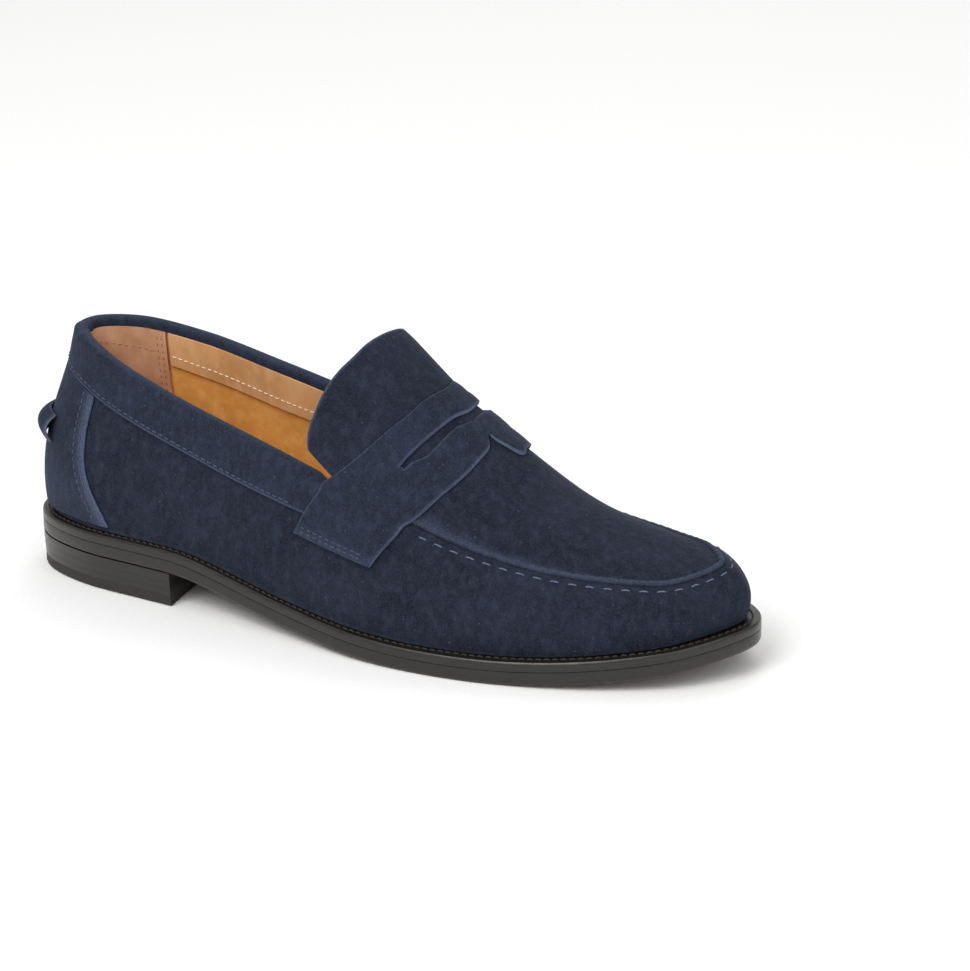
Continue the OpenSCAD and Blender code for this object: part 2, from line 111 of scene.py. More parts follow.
@dataclass
class Surface:
    """One material in the making: its node tree, shader, coordinates in metres and running colour."""

    tree: bpy.types.NodeTree
    shader: bpy.types.Node
    place: bpy.types.NodeSocket
    colour: Any

    def grain(self, size_mm: float, detail: float = 2.0,
              stretch: tuple[float, float, float] = (1, 1, 1)) -> bpy.types.NodeSocket:
        """Noise whose lumps are size_mm across.

        Args:
            size_mm: Width of one lump.
            detail: How many finer layers it has.
            stretch: Share of the pattern's density along X, Y and Z.

        Returns:
            The noise value from 0 to 1.
        """
        laid = add_node(self.tree, "ShaderNodeMapping", {"Vector": self.place, "Scale": stretch}).outputs["Vector"]
        return add_node(self.tree, "ShaderNodeTexNoise", {
            "Vector": laid, "Scale": 1 / (size_mm * MM), "Detail": detail}).outputs["Fac"]

    def rub_and_highlight_map(self) -> bpy.types.NodeSocket:
        """Wear and painted highlight on the surface, from the mesh."""
        return add_node(self.tree, "ShaderNodeAttribute", attribute_name="rub_and_highlight").outputs["Fac"]

    def tint(self, tone: str, pattern: bpy.types.NodeSocket, low: float = 0.0, high: float = 1.0,
             start: float = 0.0, end: float = 1.0, way: str = "MIX") -> None:
        """Lay a tone over the running colour where a pattern shows.

        Args:
            tone: Colour laid on.
            pattern: Where it goes.
            low: Pattern value at which its share is start.
            high: Pattern value at which its share is end.
            start: Share of the tone at low.
            end: Share of the tone at high.
            way: How the two colours blend.
        """
        share = add_node(self.tree, "ShaderNodeMapRange", levels(pattern, low, high, start, end)).outputs["Result"]
        self.colour = add_node(self.tree, "ShaderNodeMix", {0: share, 6: self.colour, 7: linear(tone)},
                               data_type="RGBA", blend_type=way).outputs[2]

    def polish(self, pattern: bpy.types.NodeSocket, low: float, high: float, smooth: float, rough: float) -> None:
        """Let the roughness run from smooth to rough over a pattern's low..high."""
        share = add_node(self.tree, "ShaderNodeMapRange", levels(pattern, low, high, smooth, rough))
        self.tree.links.new(share.outputs["Result"], self.shader.inputs["Roughness"])

    def relief(self, *layers: tuple[bpy.types.NodeSocket, float], strength: float = 0.6) -> None:
        """Stack bump layers into the shader's normal.

        Args:
            *layers: Patterns, each with its height in millimetres.
            strength: Share of the bump that shows.
        """
        under: dict[str, Any] = {}
        for value, height in layers:
            bump = add_node(self.tree, "ShaderNodeBump", {
                "Height": value, "Distance": height * MM, "Strength": strength, **under})
            under = {"Normal": bump.outputs["Normal"]}
        self.tree.links.new(under["Normal"], self.shader.inputs["Normal"])

    def fix(self, **values: Any) -> None:
        """Set even values on the shader's own sockets; an underscore stands for a space."""
        for name, value in values.items():
            self.shader.inputs[name.replace("_", " ")].default_value = value


@dataclass(frozen=True)
class Finish:
    """One surface finish; every subclass dresses its own shader once."""

    name: str
    base: str
    made: ClassVar[dict[str, bpy.types.Material]] = {}

    def material(self) -> bpy.types.Material:
        """Make the finish's material on the first call and keep it.

        Returns:
            The material.
        """
        if self.name not in self.made:
            new = bpy.data.materials.new(self.name)
            new.use_nodes = True
            place = add_node(new.node_tree, "ShaderNodeTexCoord").outputs["Object"]
            surface = Surface(new.node_tree, new.node_tree.nodes["Principled BSDF"], place, linear(self.base))
            self.dress(surface)
            surface.tree.links.new(surface.colour, surface.shader.inputs["Base Color"])
            self.made[self.name] = new
        return self.made[self.name]

    def dress(self, s: Surface) -> None:
        """Colour and pattern a surface; subclasses say how."""
        raise NotImplementedError


@dataclass(frozen=True)
class Suede(Finish):
    """Split calf, buffed on the flesh side: a short nap that drinks light and shows every stroke."""

    dark: str = "#12151e"
    light: str = "#333a4b"
    # Paler nap tone, laid in random specks and where the mesh marks wear and painted highlight.
    rub_and_highlight_tone: str = "#4f596f"
    sheen: float = 0.18
    lustre: str = "#8c93a8"

    def dress(self, s: Surface) -> None:
        """Brushed patches of 16 mm, strokes of 3 mm and fibres drawn at 0.7 mm, wider than life to show.

        Args:
            s: Surface to dress.
        """
        patches, strokes = s.grain(16, 3), s.grain(3.2, 3, (1.0, 1.0, 0.6))
        fibres, specks = s.grain(0.7, 2), s.grain(1.1, 1)
        s.colour = linear(self.dark)
        s.tint(self.base, patches, 0.32, 0.68)
        s.tint(self.light, strokes, 0.45, 0.8, 0, 0.55)
        s.tint(self.light, fibres, 0.35, 0.75, 0, 0.42)
        s.tint(self.rub_and_highlight_tone, specks, 0.72, 0.8, 0, 0.5)
        # Lighter where the mesh marks it: worn lines and raw cut edges, and painted highlight on the topline roll's
        # crest and the apron seam ridge's top and outer side.
        ragged = add_node(s.tree, "ShaderNodeMapRange", levels(fibres, 0.3, 0.6, 0.45, 1.0)).outputs["Result"]
        s.tint(self.rub_and_highlight_tone, add_node(s.tree, "ShaderNodeMath", {0: s.rub_and_highlight_map(), 1: ragged},
                                     operation="MULTIPLY").outputs[0])
        s.polish(strokes, 0.3, 0.7, 0.86, 0.98)
        s.fix(Specular_IOR_Level=0.12, Sheen_Weight=self.sheen, Sheen_Roughness=0.45, Sheen_Tint=linear(self.lustre))
        s.relief((fibres, 0.35), (strokes, 0.5), strength=0.55)


@dataclass(frozen=True)
class BurnishedLeather(Finish):
    """Vegetable-tanned sole leather, its cut edge inked, waxed and ironed to a soft shine."""

    streak: str = "#1f1a16"
    worn: str = "#452b21"
    gloss: float = 0.34
    coat: float = 0.12

    def dress(self, s: Surface) -> None:
        """Ironing marks run along the edge in lines 0.8 mm apart; the ink is thinner in 20 mm patches.

        Args:
            s: Surface to dress.
        """
        lines, patches, pores = s.grain(9, 2, (1, 1, 11)), s.grain(20, 2), s.grain(0.9, 2)
        s.tint(self.streak, lines, 0.4, 0.75, 0, 0.6)
        s.tint(self.streak, patches, 0.45, 0.8, 0, 0.35)
        s.tint(self.worn, s.rub_and_highlight_map())
        s.polish(lines, 0.2, 0.8, self.gloss - 0.06, self.gloss + 0.14)
        s.fix(Coat_Weight=self.coat, Coat_Roughness=0.22)
        s.relief((pores, 0.06), (lines, 0.12), strength=0.5)


@dataclass(frozen=True)
class LiningCalf(Finish):
    """Vegetable-tanned lining calf, drum dyed and lightly glazed: pores and soft creases, low shine."""

    dark: str = "#c28f5c"
    light: str = "#e4bd90"

    def dress(self, s: Surface) -> None:
        """Pores drawn 0.8 mm apart, twice their real spacing, and creases of 7 mm over clouds of 18 mm.

        Args:
            s: Surface to dress.
        """
        clouds, creases = s.grain(18, 3), s.grain(7, 3, (1, 1, 0.5))
        pores = add_node(s.tree, "ShaderNodeTexVoronoi", {"Vector": s.place, "Scale": 1 / (0.8 * MM)}).outputs[0]
        s.colour = linear(self.dark)
        s.tint(self.base, clouds, 0.3, 0.7)
        s.tint(self.light, creases, 0.5, 0.8, 0, 0.7)
        s.tint(self.dark, pores, 0.0, 0.35, 0.25, 0)
        s.polish(clouds, 0.3, 0.7, 0.5, 0.62)
        s.fix(Specular_IOR_Level=0.4)
        s.relief((pores, 0.08), (creases, 0.3), strength=0.5)


@dataclass(frozen=True)
class NappedSplit(Finish):
    """Ochre split used flesh side out as quarter lining: a coarse nap, mottled and without shine."""

    dark: str = "#cf8f42"
    light: str = "#eeb568"

    def dress(self, s: Surface) -> None:
        """Mottling of 5 mm over clouds of 22 mm, with nap tufts drawn at 0.9 mm.

        Args:
            s: Surface to dress.
        """
        clouds, mottle, tufts = s.grain(22, 3), s.grain(5, 4), s.grain(0.9, 2)
        s.colour = linear(self.dark)
        s.tint(self.base, clouds, 0.3, 0.7)
        s.tint(self.light, mottle, 0.42, 0.72, 0, 0.65)
        s.tint(self.dark, tufts, 0.5, 0.25, 0, 0.35)
        s.fix(Roughness=0.92, Specular_IOR_Level=0.15, Sheen_Weight=0.2, Sheen_Roughness=0.5,
              Sheen_Tint=linear("#ffd9a0"))
        s.relief((tufts, 0.3), (mottle, 0.4), strength=0.5)


@dataclass(frozen=True)
class WaxedThread(Finish):
    """Twisted polyester or linen thread drawn through wax: fine plies with a dull glint."""

    def dress(self, s: Surface) -> None:
        """Plies drawn 0.35 mm wide, three to a thread.

        Args:
            s: Surface to dress.
        """
        plies = s.grain(0.35, 1)
        s.tint("#ffffff", plies, 0.35, 0.7, way="SOFT_LIGHT")
        s.fix(Roughness=0.6, Specular_IOR_Level=0.3)
        s.relief((plies, 0.12), strength=0.7)


@dataclass(frozen=True)
class GroundStock(Finish):
    """Moulded or pressed stock seen where it is cut: rubber, cork, fibre board, foam or felt."""

    fleck: str = "#8a6a48"
    fleck_mm: float = 1.6
    dullness: float = 0.8
    depth_mm: float = 0.15

    def dress(self, s: Surface) -> None:
        """Flecks at the stock's own grain size over faint clouds of 12 mm.

        Args:
            s: Surface to dress.
        """
        flecks, clouds = s.grain(self.fleck_mm, 3), s.grain(12, 2)
        s.tint(self.fleck, flecks, 0.45, 0.75)
        s.tint(self.fleck, clouds, 0.5, 0.9, 0, 0.3)
        s.polish(flecks, 0.3, 0.7, self.dullness - 0.1, min(self.dullness + 0.1, 1))
        s.relief((flecks, self.depth_mm))


@dataclass(frozen=True)
class DrawnMetal(Finish):
    """Drawn brass wire or rolled spring steel, cut and filed flush."""

    scratch: str = "#7d6130"
    gloss: float = 0.32

    def dress(self, s: Surface) -> None:
        """File marks 0.3 mm apart under faint tarnish.

        Args:
            s: Surface to dress.
        """
        marks = s.grain(3, 3, (10, 1, 1))
        s.tint(self.scratch, marks, 0.45, 0.8, 0, 0.7)
        s.polish(marks, 0.3, 0.7, self.gloss - 0.08, self.gloss + 0.12)
        s.fix(Metallic=1.0)
        s.relief((marks, 0.03), strength=0.5)


@dataclass(frozen=True)
class MattPaper(Finish):
    """Uncoated white paper off the roll: a faint tooth and no shine."""

    def dress(self, s: Surface) -> None:
        """Tooth drawn at 1.5 mm, coarse enough to show."""
        s.tint("#ffffff", s.grain(1.5, 2), 0.3, 0.7)
        s.fix(Roughness=0.9, Specular_IOR_Level=0.1)


class Palette(Enum):
    """Every finish on the shoe, and the paper it stands on."""

    NAVY_SUEDE = Suede("navy_suede_calf", "#1d212e")
    LIGHT_SUEDE = Suede("navy_suede_collar", "#1f2431", dark="#181c26", light="#353d50")
    RAW_EDGE = Suede("navy_suede_cut_edge", "#3a4257", dark="#2e3546", light="#515b73", rub_and_highlight_tone="#5e6983")
    NAVY_THREAD = WaxedThread("navy_waxed_thread", "#4a546a")
    DARK_THREAD = WaxedThread("midnight_waxed_thread", "#363e50")
    WELT_THREAD = WaxedThread("brown_waxed_thread", "#2b2621")
    CREAM_THREAD = WaxedThread("cream_waxed_thread", "#f0e0c2")
    BROWN_THREAD = WaxedThread("tan_waxed_thread", "#a06d4c")
    SOLE_EDGE = BurnishedLeather("burnished_sole_leather", "#16120f")
    WELT = BurnishedLeather("burnished_welt_leather", "#161210")
    TAN_CALF = LiningCalf("tan_lining_calf", "#dba673")
    OCHRE_SPLIT = NappedSplit("ochre_split_lining", "#e3a252")
    PINK_CALF = LiningCalf("rose_tan_grip_calf", "#cf9f7e", dark="#b58463", light="#e0b799")
    SOCK_CALF = LiningCalf("ochre_sock_calf", "#c99354", dark="#a87338", light="#dcae70")
    RUBBER = GroundStock("moulded_black_rubber", "#211d1b", "#332d29", 0.8, 0.7, 0.08)
    CORK = GroundStock("ground_cork", "#a8845c", "#6f4d2e", 2.2, 0.9, 0.4)
    BOARD = GroundStock("insole_fibre_board", "#b5895e", "#8c653f", 1.0, 0.85)
    STIFFENER = GroundStock("pasted_fibre_stiffener", "#c4ab84", "#a1875f", 1.2)
    FOAM = GroundStock("skived_latex_foam", "#ddcfb4", "#b9a888", 0.9, 0.95, 0.3)
    BRASS = DrawnMetal("drawn_brass_nail", "#c39a52")
    STEEL = DrawnMetal("rolled_spring_steel", "#9aa0a6", scratch="#6c7278", gloss=0.38)
    PAPER = MattPaper("white_paper_sweep", "#fbfbfa")

    def material(self) -> bpy.types.Material:
        """Return the finish's material."""
        return self.value.material()


# ---------------------------------------------------------------- the last


def curve_through(table: tuple[tuple[float, float], ...], at: Array | float) -> Array:
    """Smooth curve through the points of a table, held level past its ends.

    Args:
        table: Rows of place and value.
        at: Places to read.

    Returns:
        The values there.
    """
    xs, ys = np.array(table, float).T
    slopes = np.gradient(ys, xs)
    x = np.clip(np.asarray(at, float), xs[0], xs[-1])
    i = np.clip(np.searchsorted(xs, x, side="right") - 1, 0, len(xs) - 2)
    step = xs[i + 1] - xs[i]
    f = (x - xs[i]) / step
    return ((2 * f**3 - 3 * f**2 + 1) * ys[i] + (f**3 - 2 * f**2 + f) * step * slopes[i]
            + (3 * f**2 - 2 * f**3) * ys[i + 1] + (f**3 - f**2) * step * slopes[i + 1])


def unit(v: Array) -> Array:
    """Scale vectors to length one along the last axis."""
    return v / np.maximum(np.linalg.norm(v, axis=-1, keepdims=True), 1e-9)


def mix(a: Any, b: Any, f: Any) -> Any:
    """Straight mix from a to b."""
    return a * (1 - f) + b * f


@dataclass
class Last:
    """The shoe's shape in millimetres; place t runs round the sole from the heel back, 22 to a turn."""

    sole_length: float = 301
    sole_width: float = 103
    heel_height: float = 13.5
    heel_length: float = 76
    toe_spring: float = 10.5
    collar_height: float = 97
    outsole: float = 5.2
    welt: float = 3.8
    welt_shelf: float = 5.3
    instep_crown: float = 37
    suede: float = 1.3
    roll_height: float = 3.1
    ring: Array = field(init=False)

    # place, half width, shift, welt shelf, inset outer and inner side, top edge outer and inner side,
    # bulge, shoulder, crown
    STATIONS: ClassVar[tuple[tuple[float, ...], ...]] = (
        (0.000, 0.000, -1.0, 0.75, 13.8, 13.8, 1.000, 1.000, 5.5, 0.10, 1.03),
        (0.030, 0.350, 0.0, 0.72, 12.0, 12.0, 1.000, 1.008, 5.5, 0.10, 1.03),
        (0.106, 0.583, 1.0, 0.67, 8.0, 8.1, 0.961, 0.988, 4.5, 0.10, 1.03),
        (0.206, 0.660, 0.5, 0.64, 5.8, 6.4, 0.866, 0.938, 3.0, 0.10, 1.03),
        (0.322, 0.709, -1.0, 0.64, 6.8, 7.8, 0.762, 0.861, 2.5, 0.20, 1.03),
        (0.439, 0.825, -2.3, 0.60, 9.2, 10.6, 0.680, 0.758, 2.5, 0.40, 1.03),
        (0.555, 0.951, -2.8, 0.79, 11.2, 13.5, 0.588, 0.637, 3.0, 0.60, 1.00),
        (0.671, 1.000, -0.6, 0.94, 11.8, 15.0, 0.478, 0.513, 3.5, 0.80, 0.70),
        (0.777, 0.942, 1.8, 1.00, 11.5, 15.0, 0.408, 0.445, 3.5, 0.85, 0.35),
        (0.877, 0.777, 3.8, 1.02, 10.8, 13.8, 0.376, 0.421, 3.5, 0.85, 0.18),
        (0.953, 0.515, 5.0, 1.00, 9.6, 11.2, 0.374, 0.414, 3.5, 0.85, 0.06),
        (1.000, 0.000, 6.0, 0.98, 9.5, 9.5, 0.412, 0.412, 3.5, 0.85, 0.00),
    )
    TURN: ClassVar[int] = 22
    # Height of the collar band's lower edge, as a share of the wall
    BAND: ClassVar[tuple[tuple[float, float], ...]] = (
        (0, 0.765), (1, 0.755), (2, 0.712), (3, 0.663), (4, 0.612), (6, 0.608))

    def __post_init__(self) -> None:
        """Lay the stations out as one closed ring of rows."""
        rows = [self._row(s, -1) for s in self.STATIONS] + [self._row(s, 1) for s in self.STATIONS[10:0:-1]]
        self.ring = np.array(rows)

    def _row(self, s: tuple[float, ...], side: int) -> tuple[float, ...]:
        """Work out one ring row.

        Args:
            s: Station.
            side: -1 for the outer side of the foot, 1 for the inner.

        Returns:
            The row, its lengths in millimetres.
        """
        outer = side < 0
        return (s[0] * self.sole_length, s[2] + side * s[1] * self.sole_width / 2, s[3] * self.welt_shelf,
                s[4] if outer else s[5], (s[6] if outer else s[7]) * self.collar_height, s[8], s[9],
                s[10] * self.instep_crown)

    @property
    def seat(self) -> float:
        """Height of the welt's top over the outsole's underside."""
        return self.outsole + self.welt

    def rows(self, t: Array, slope: bool = False) -> Array:
        """Read the ring by a smooth closed curve.

        Args:
            t: Places round the sole.
            slope: Whether the curve's slopes are wanted.

        Returns:
            Rows, or their slopes, at those places.
        """
        t = np.asarray(t, float) % self.TURN
        i = np.floor(t).astype(int)
        f = (t - i)[..., None]
        a, b, c, d = (self.ring[(i + k) % self.TURN] for k in (-1, 0, 1, 2))
        square, cube = 2 * a - 5 * b + 4 * c - d, 3 * b - a - 3 * c + d
        if slope:
            return 0.5 * ((c - a) + 2 * square * f + 3 * cube * f**2)
        return 0.5 * (2 * b + (c - a) * f + square * f**2 + cube * f**3)

    def normal(self, t: Array) -> Array:
        """Outward direction in plan at places t."""
        d = self.rows(t, slope=True)
        return unit(np.stack([d[..., 1], -d[..., 0]], -1))

    def ground(self, x: Array) -> Array:
        """Height of the outsole's underside: heel, waist and toe spring.

        Args:
            x: Lengths from the heel back.

        Returns:
            The heights there.
        """
        x = np.asarray(x, float)
        d = x - self.heel_length - 4
        eased = np.where(d <= -10, 0, np.where(d < 10, (d + 10)**2 / 40, d))
        u = np.clip(eased / (0.631 * self.sole_length - self.heel_length), 0, 1)
        ball = 0.684 * self.sole_length
        w = np.clip((x - ball) / (self.sole_length - ball), 0, 1.2)
        return self.heel_height * (1 - u)**1.8 + self.toe_spring * w**2

    def outline(self, t: Array, inset: Any = 0.0) -> Array:
        """Sole outline in plan, moved inward by inset."""
        return self.rows(t)[..., :2] - self.normal(t) * np.asarray(inset)[..., None]

    def wall(self, t: Any, v: Any, depth: Any = 0.0) -> Array:
        """Side of the upper.

        Args:
            t: Places round the sole.
            v: Heights from the welt at 0 to the top edge at 1.
            depth: Distance inward from the skin.

        Returns:
            Points in millimetres.
        """
        t, v, depth = np.broadcast_arrays(*(np.asarray(k, float) for k in (t, v, depth)))
        r, n = self.rows(t), self.normal(t)
        base = self.ground(r[..., 0]) + self.seat + 0.1
        inset, rise, bulge, round_ = r[..., 3], r[..., 4] - base, r[..., 5], r[..., 6]
        e = 1 - v
        across = 3 * v * e * e * bulge - 3 * v * v * e * inset * (1 - round_) - v**3 * inset
        up = 3 * v * e * e * 0.45 * rise + 3 * v * v * e * rise * (0.7 + 0.25 * round_) + v**3 * rise
        slope = (3 * e * e * bulge + 6 * v * e * (-inset * (1 - round_) - bulge) - 3 * v * v * inset * round_)
        climb = (3 * e * e * 0.45 * rise + 6 * v * e * rise * (0.25 + 0.25 * round_)
                 + 3 * v * v * rise * (0.3 - 0.25 * round_))
        size = np.hypot(slope, climb)
        across = across - depth * climb / size
        up = up + depth * slope / size
        foot = r[..., :2] - n * r[..., 2:3] + n * across[..., None]
        return np.concatenate([foot, (base + up)[..., None]], -1)

    def arch(self, t: Any, w: Any, depth: Any = 0.0) -> Array:
        """Skin over the foot.

        Args:
            t: Places round the sole.
            w: Shares from the outer top edge at 0 to the inner one at 1.
            depth: Distance inward from the skin.

        Returns:
            Points in millimetres.
        """
        t, w, depth = np.broadcast_arrays(*(np.asarray(k, float) for k in (t, w, depth)))
        start = self.wall(t, 1.0)
        reach = self.wall(self.TURN - t, 1.0) - start
        size = np.linalg.norm(reach, axis=-1)
        crown = self.rows(t)[..., 7]
        k = np.abs(2 * w - 1)
        tilt = np.arctan2(-4.4 * crown * k**1.2 * np.sign(2 * w - 1), size)
        out = -(reach / (size[..., None] + 1e-9)) * np.sin(tilt)[..., None]
        out[..., 2] += np.cos(tilt)
        top = start + reach * w[..., None]
        top[..., 2] += crown * (1 - k**2.2)
        return top - depth[..., None] * out

    def girth(self, t: Any, g: Any, depth: Any = 0.0) -> Array:
        """Whole upper from the outer welt over the foot to the inner welt.

        Args:
            t: Places round the sole.
            g: Girth: outer wall from 0, arch from 1, inner wall from 2 to 3.
            depth: Distance inward from the skin.

        Returns:
            Points in millimetres.
        """
        t, g, depth = np.broadcast_arrays(*(np.asarray(k, float) for k in (t, g, depth)))
        near = self.wall(t, np.clip(g, 0, 1), depth)
        over = self.arch(t, np.clip(g - 1, 0, 1), depth)
        far = self.wall(self.TURN - t, np.clip(3 - g, 0, 1), depth)
        return np.where((g < 1)[..., None], near, np.where((g <= 2)[..., None], over, far))

    def share_under(self, t: Array, length: float) -> Array:
        """Height v that lies a length under the top edge.

        Args:
            t: Places round the sole.
            length: Length in millimetres.

        Returns:
            The heights there.
        """
        r = self.rows(t)
        rise = r[..., 4] - self.ground(r[..., 0]) - self.seat - 0.1
        return 1 - length / (3 * np.hypot(r[..., 3] * r[..., 6], rise * (0.3 - 0.25 * r[..., 6])))

    def band_foot(self, t: Array) -> Array:
        """Place v of the collar band's lower edge."""
        k = np.asarray(t, float) % self.TURN
        return curve_through(self.BAND, np.minimum(k, self.TURN - k))


LAST = Last()


# ---------------------------------------------------------------- mesh making


def place_in_frame(points: Array) -> Array:
    """Move points from the heel back in millimetres to the frame in metres."""
    return (np.asarray(points, float).reshape(-1, 3) - (LAST.heel_length / 2, 0, 0)) * MM


def make_piece(name: str, points: Array, faces: list[tuple[int, ...]], finishes: list[Palette],
               rub_and_highlight: Array | None = None, which: list[int] | None = None, crease: float = 50.0) -> bpy.types.Object:
    """Make one mesh object in the frame, its faces turned outward.

    Args:
        name: Name of the piece.
        points: Corners in millimetres from the heel back.
        faces: Corner numbers of each face.
        finishes: Material slots in order.
        rub_and_highlight: Wear of each corner from 0 to 1, with painted highlight on lit crests.
        which: Slot number of each face.
        crease: Angle in degrees over which an edge stays sharp.

    Returns:
        The new object, linked to the scene.
    """
    mesh = bpy.data.meshes.new(name)
    mesh.from_pydata(place_in_frame(points).tolist(), [], faces)
    # This layer marks wear and lighter raw edges, and painted highlight on the topline roll's crest and the seam
    # ridge's top and outer side.
    worn = mesh.attributes.new("rub_and_highlight", "FLOAT", "POINT")
    if rub_and_highlight is not None:
        worn.data.foreach_set("value", np.asarray(rub_and_highlight, np.float32).ravel())
    if which is not None:
        mesh.polygons.foreach_set("material_index", np.asarray(which, np.int32))
    for finish in finishes:
        mesh.materials.append(finish.material())
    work = bmesh.new()
    work.from_mesh(mesh)
    bmesh.ops.delete(work, geom=[v for v in work.verts if not v.link_faces], context="VERTS")
    bmesh.ops.recalc_face_normals(work, faces=work.faces)
    work.to_mesh(mesh)
    work.free()
    mesh.polygons.foreach_set("use_smooth", np.ones(len(mesh.polygons), bool))
    mesh.set_sharp_from_angle(angle=math.radians(crease))
    piece = bpy.data.objects.new(name, mesh)
    bpy.context.scene.collection.objects.link(piece)
    return piece


def soften(piece: bpy.types.Object, width_mm: float) -> bpy.types.Object:
    """Round a piece's sharp edges and keep the result as its mesh.

    Args:
        piece: Mesh object.
        width_mm: Width of the rounding.

    Returns:
        The same object.
    """
    bevel = piece.modifiers.new("edge", "BEVEL")
    bevel.width = width_mm * MM
    bevel.segments = 2
    bevel.limit_method = "ANGLE"
    bevel.angle_limit = math.radians(50)
    bevel.use_clamp_overlap = True
    done = bpy.data.meshes.new_from_object(piece.evaluated_get(bpy.context.evaluated_depsgraph_get()))
    piece.modifiers.clear()
    old, piece.data = piece.data, done
    bpy.data.meshes.remove(old)
    done.name = piece.name
    return piece


@dataclass
class Layer:
    """A leather layer: a closed solid between an outer and an inner grid of points."""

    name: str
    outer: Array
    inner: Array
    finish: Palette
    edge: Palette | None = None
    ring: bool = False
    gone: Array | None = None
    rub_and_highlight: Array | None = None
    rounding_mm: float = 0.35

    def build(self) -> bpy.types.Object:
        """Join both grids and their rim into one solid.

        Returns:
            The piece, with its cut edges rounded.
        """
        ni, nj = self.outer.shape[:2]
        ci = ni if self.ring else ni - 1
        kept = np.ones((ci, nj - 1), bool)
        if self.gone is not None:
            kept &= ~self.gone
        base = ni * nj
        faces: list[tuple[int, ...]] = []
        which: list[int] = []

        def at(i: int, j: int) -> int:
            """Number of the corner in row i, column j."""
            return (i % ni) * nj + j

        def has(i: int, j: int) -> bool:
            """Whether cell i, j is leather."""
            return bool((self.ring or 0 <= i < ci) and 0 <= j < nj - 1 and kept[i % ci, j])

        for i, j in np.argwhere(kept):
            a, b, c, d = at(i, j), at(i, j + 1), at(i + 1, j + 1), at(i + 1, j)
            faces += [(a, d, c, b), (base + a, base + b, base + c, base + d)]
            which += [0, 0]
            for neighbour, p, q in ((has(i, j - 1), a, d), (has(i, j + 1), c, b), (has(i - 1, j), b, a),
                                    (has(i + 1, j), d, c)):
                if not neighbour:
                    faces.append((p, base + p, base + q, q))
                    which.append(1)
        rub_and_highlight = None if self.rub_and_highlight is None else np.concatenate([self.rub_and_highlight.ravel(), self.rub_and_highlight.ravel()])
        points = np.concatenate([self.outer.reshape(-1, 3), self.inner.reshape(-1, 3)])
        piece = make_piece(self.name, points, faces, [self.finish, self.edge or self.finish], rub_and_highlight, which)
        return soften(piece, self.rounding_mm) if self.rounding_mm else piece


@dataclass
class Loft:
    """A closed solid through a row of cross sections with equal corner counts."""

    name: str
    sections: Array
    finish: Palette
    ring: bool = False
    rub_and_highlight: Array | None = None
    crease: float = 50.0
    taper: float = 0.0

    def build(self) -> bpy.types.Object:
        """Skin the sections and cap the ends.

        Returns:
            The piece.
        """
        sections, rub_and_highlight = self.sections, self.rub_and_highlight
        if self.taper:
            rub_and_highlight = None if rub_and_highlight is None else np.concatenate([rub_and_highlight[:1], rub_and_highlight, rub_and_highlight[-1:]])
            tips = []
            for end, beside in ((0, 1), (-1, -2)):
                middle = sections[end].mean(0)
                tips.append([middle + (sections[end] - middle) * self.taper
                             + unit(middle - sections[beside].mean(0)) * 0.4])
            sections = np.concatenate([tips[0], sections, tips[1]])
        n, k = sections.shape[:2]
        faces = [(i * k + j, (i + 1) % n * k + j, (i + 1) % n * k + (j + 1) % k, i * k + (j + 1) % k)
                 for i in range(n if self.ring else n - 1) for j in range(k)]
        if not self.ring:
            faces += [tuple(range(k)), tuple(range((n - 1) * k, n * k))]
        return make_piece(self.name, sections.reshape(-1, 3), faces, [self.finish], rub_and_highlight, crease=self.crease)


@dataclass(frozen=True)
class Gauge:
    """How a seam is sewn, in millimetres: pitch, stitch length, thread radius and height of the bow."""

    pitch: float
    length: float
    radius: float
    bow: float


@dataclass
class StitchRow:
    """A row of stitches, each a bowed length of thread whose ends dive into the leather."""

    centres: Array
    along: Array
    outward: Array
    thread: Palette
    gauge: Gauge

    def build(self, name: str) -> bpy.types.Object:
        """Sweep a round thread along every stitch.

        Args:
            name: Name of the piece.

        Returns:
            All stitches as one piece.
        """
        a = unit(self.along)
        o = unit(self.outward - a * np.sum(self.outward * a, -1, keepdims=True))
        b = np.cross(a, o)
        s = np.array([-1, -0.82, -0.4, 0, 0.4, 0.82, 1])
        spin = np.linspace(0, 2 * math.pi, 8, endpoint=False)
        middle = (self.centres[:, None] + a[:, None] * (s[:, None] * self.gauge.length / 2)
                  + o[:, None] * (self.gauge.bow * (1 - 1.9 * s**2))[:, None])
        width = self.gauge.radius * np.array([0.45, 0.85, 1, 1, 1, 0.85, 0.45])
        ring = b[:, None, None] * np.cos(spin)[:, None] + o[:, None, None] * np.sin(spin)[:, None]
        points = middle[:, :, None] + ring * width[:, None, None]
        faces = []
        for base in range(0, 56 * len(self.centres), 56):
            faces += [(base + i * 8 + j, base + i * 8 + 8 + j, base + i * 8 + 8 + (j + 1) % 8,
                       base + i * 8 + (j + 1) % 8) for i in range(6) for j in range(8)]
            faces += [tuple(base + j for j in range(8)), tuple(base + 48 + j for j in range(8))]
        return make_piece(name, points, faces, [self.thread])


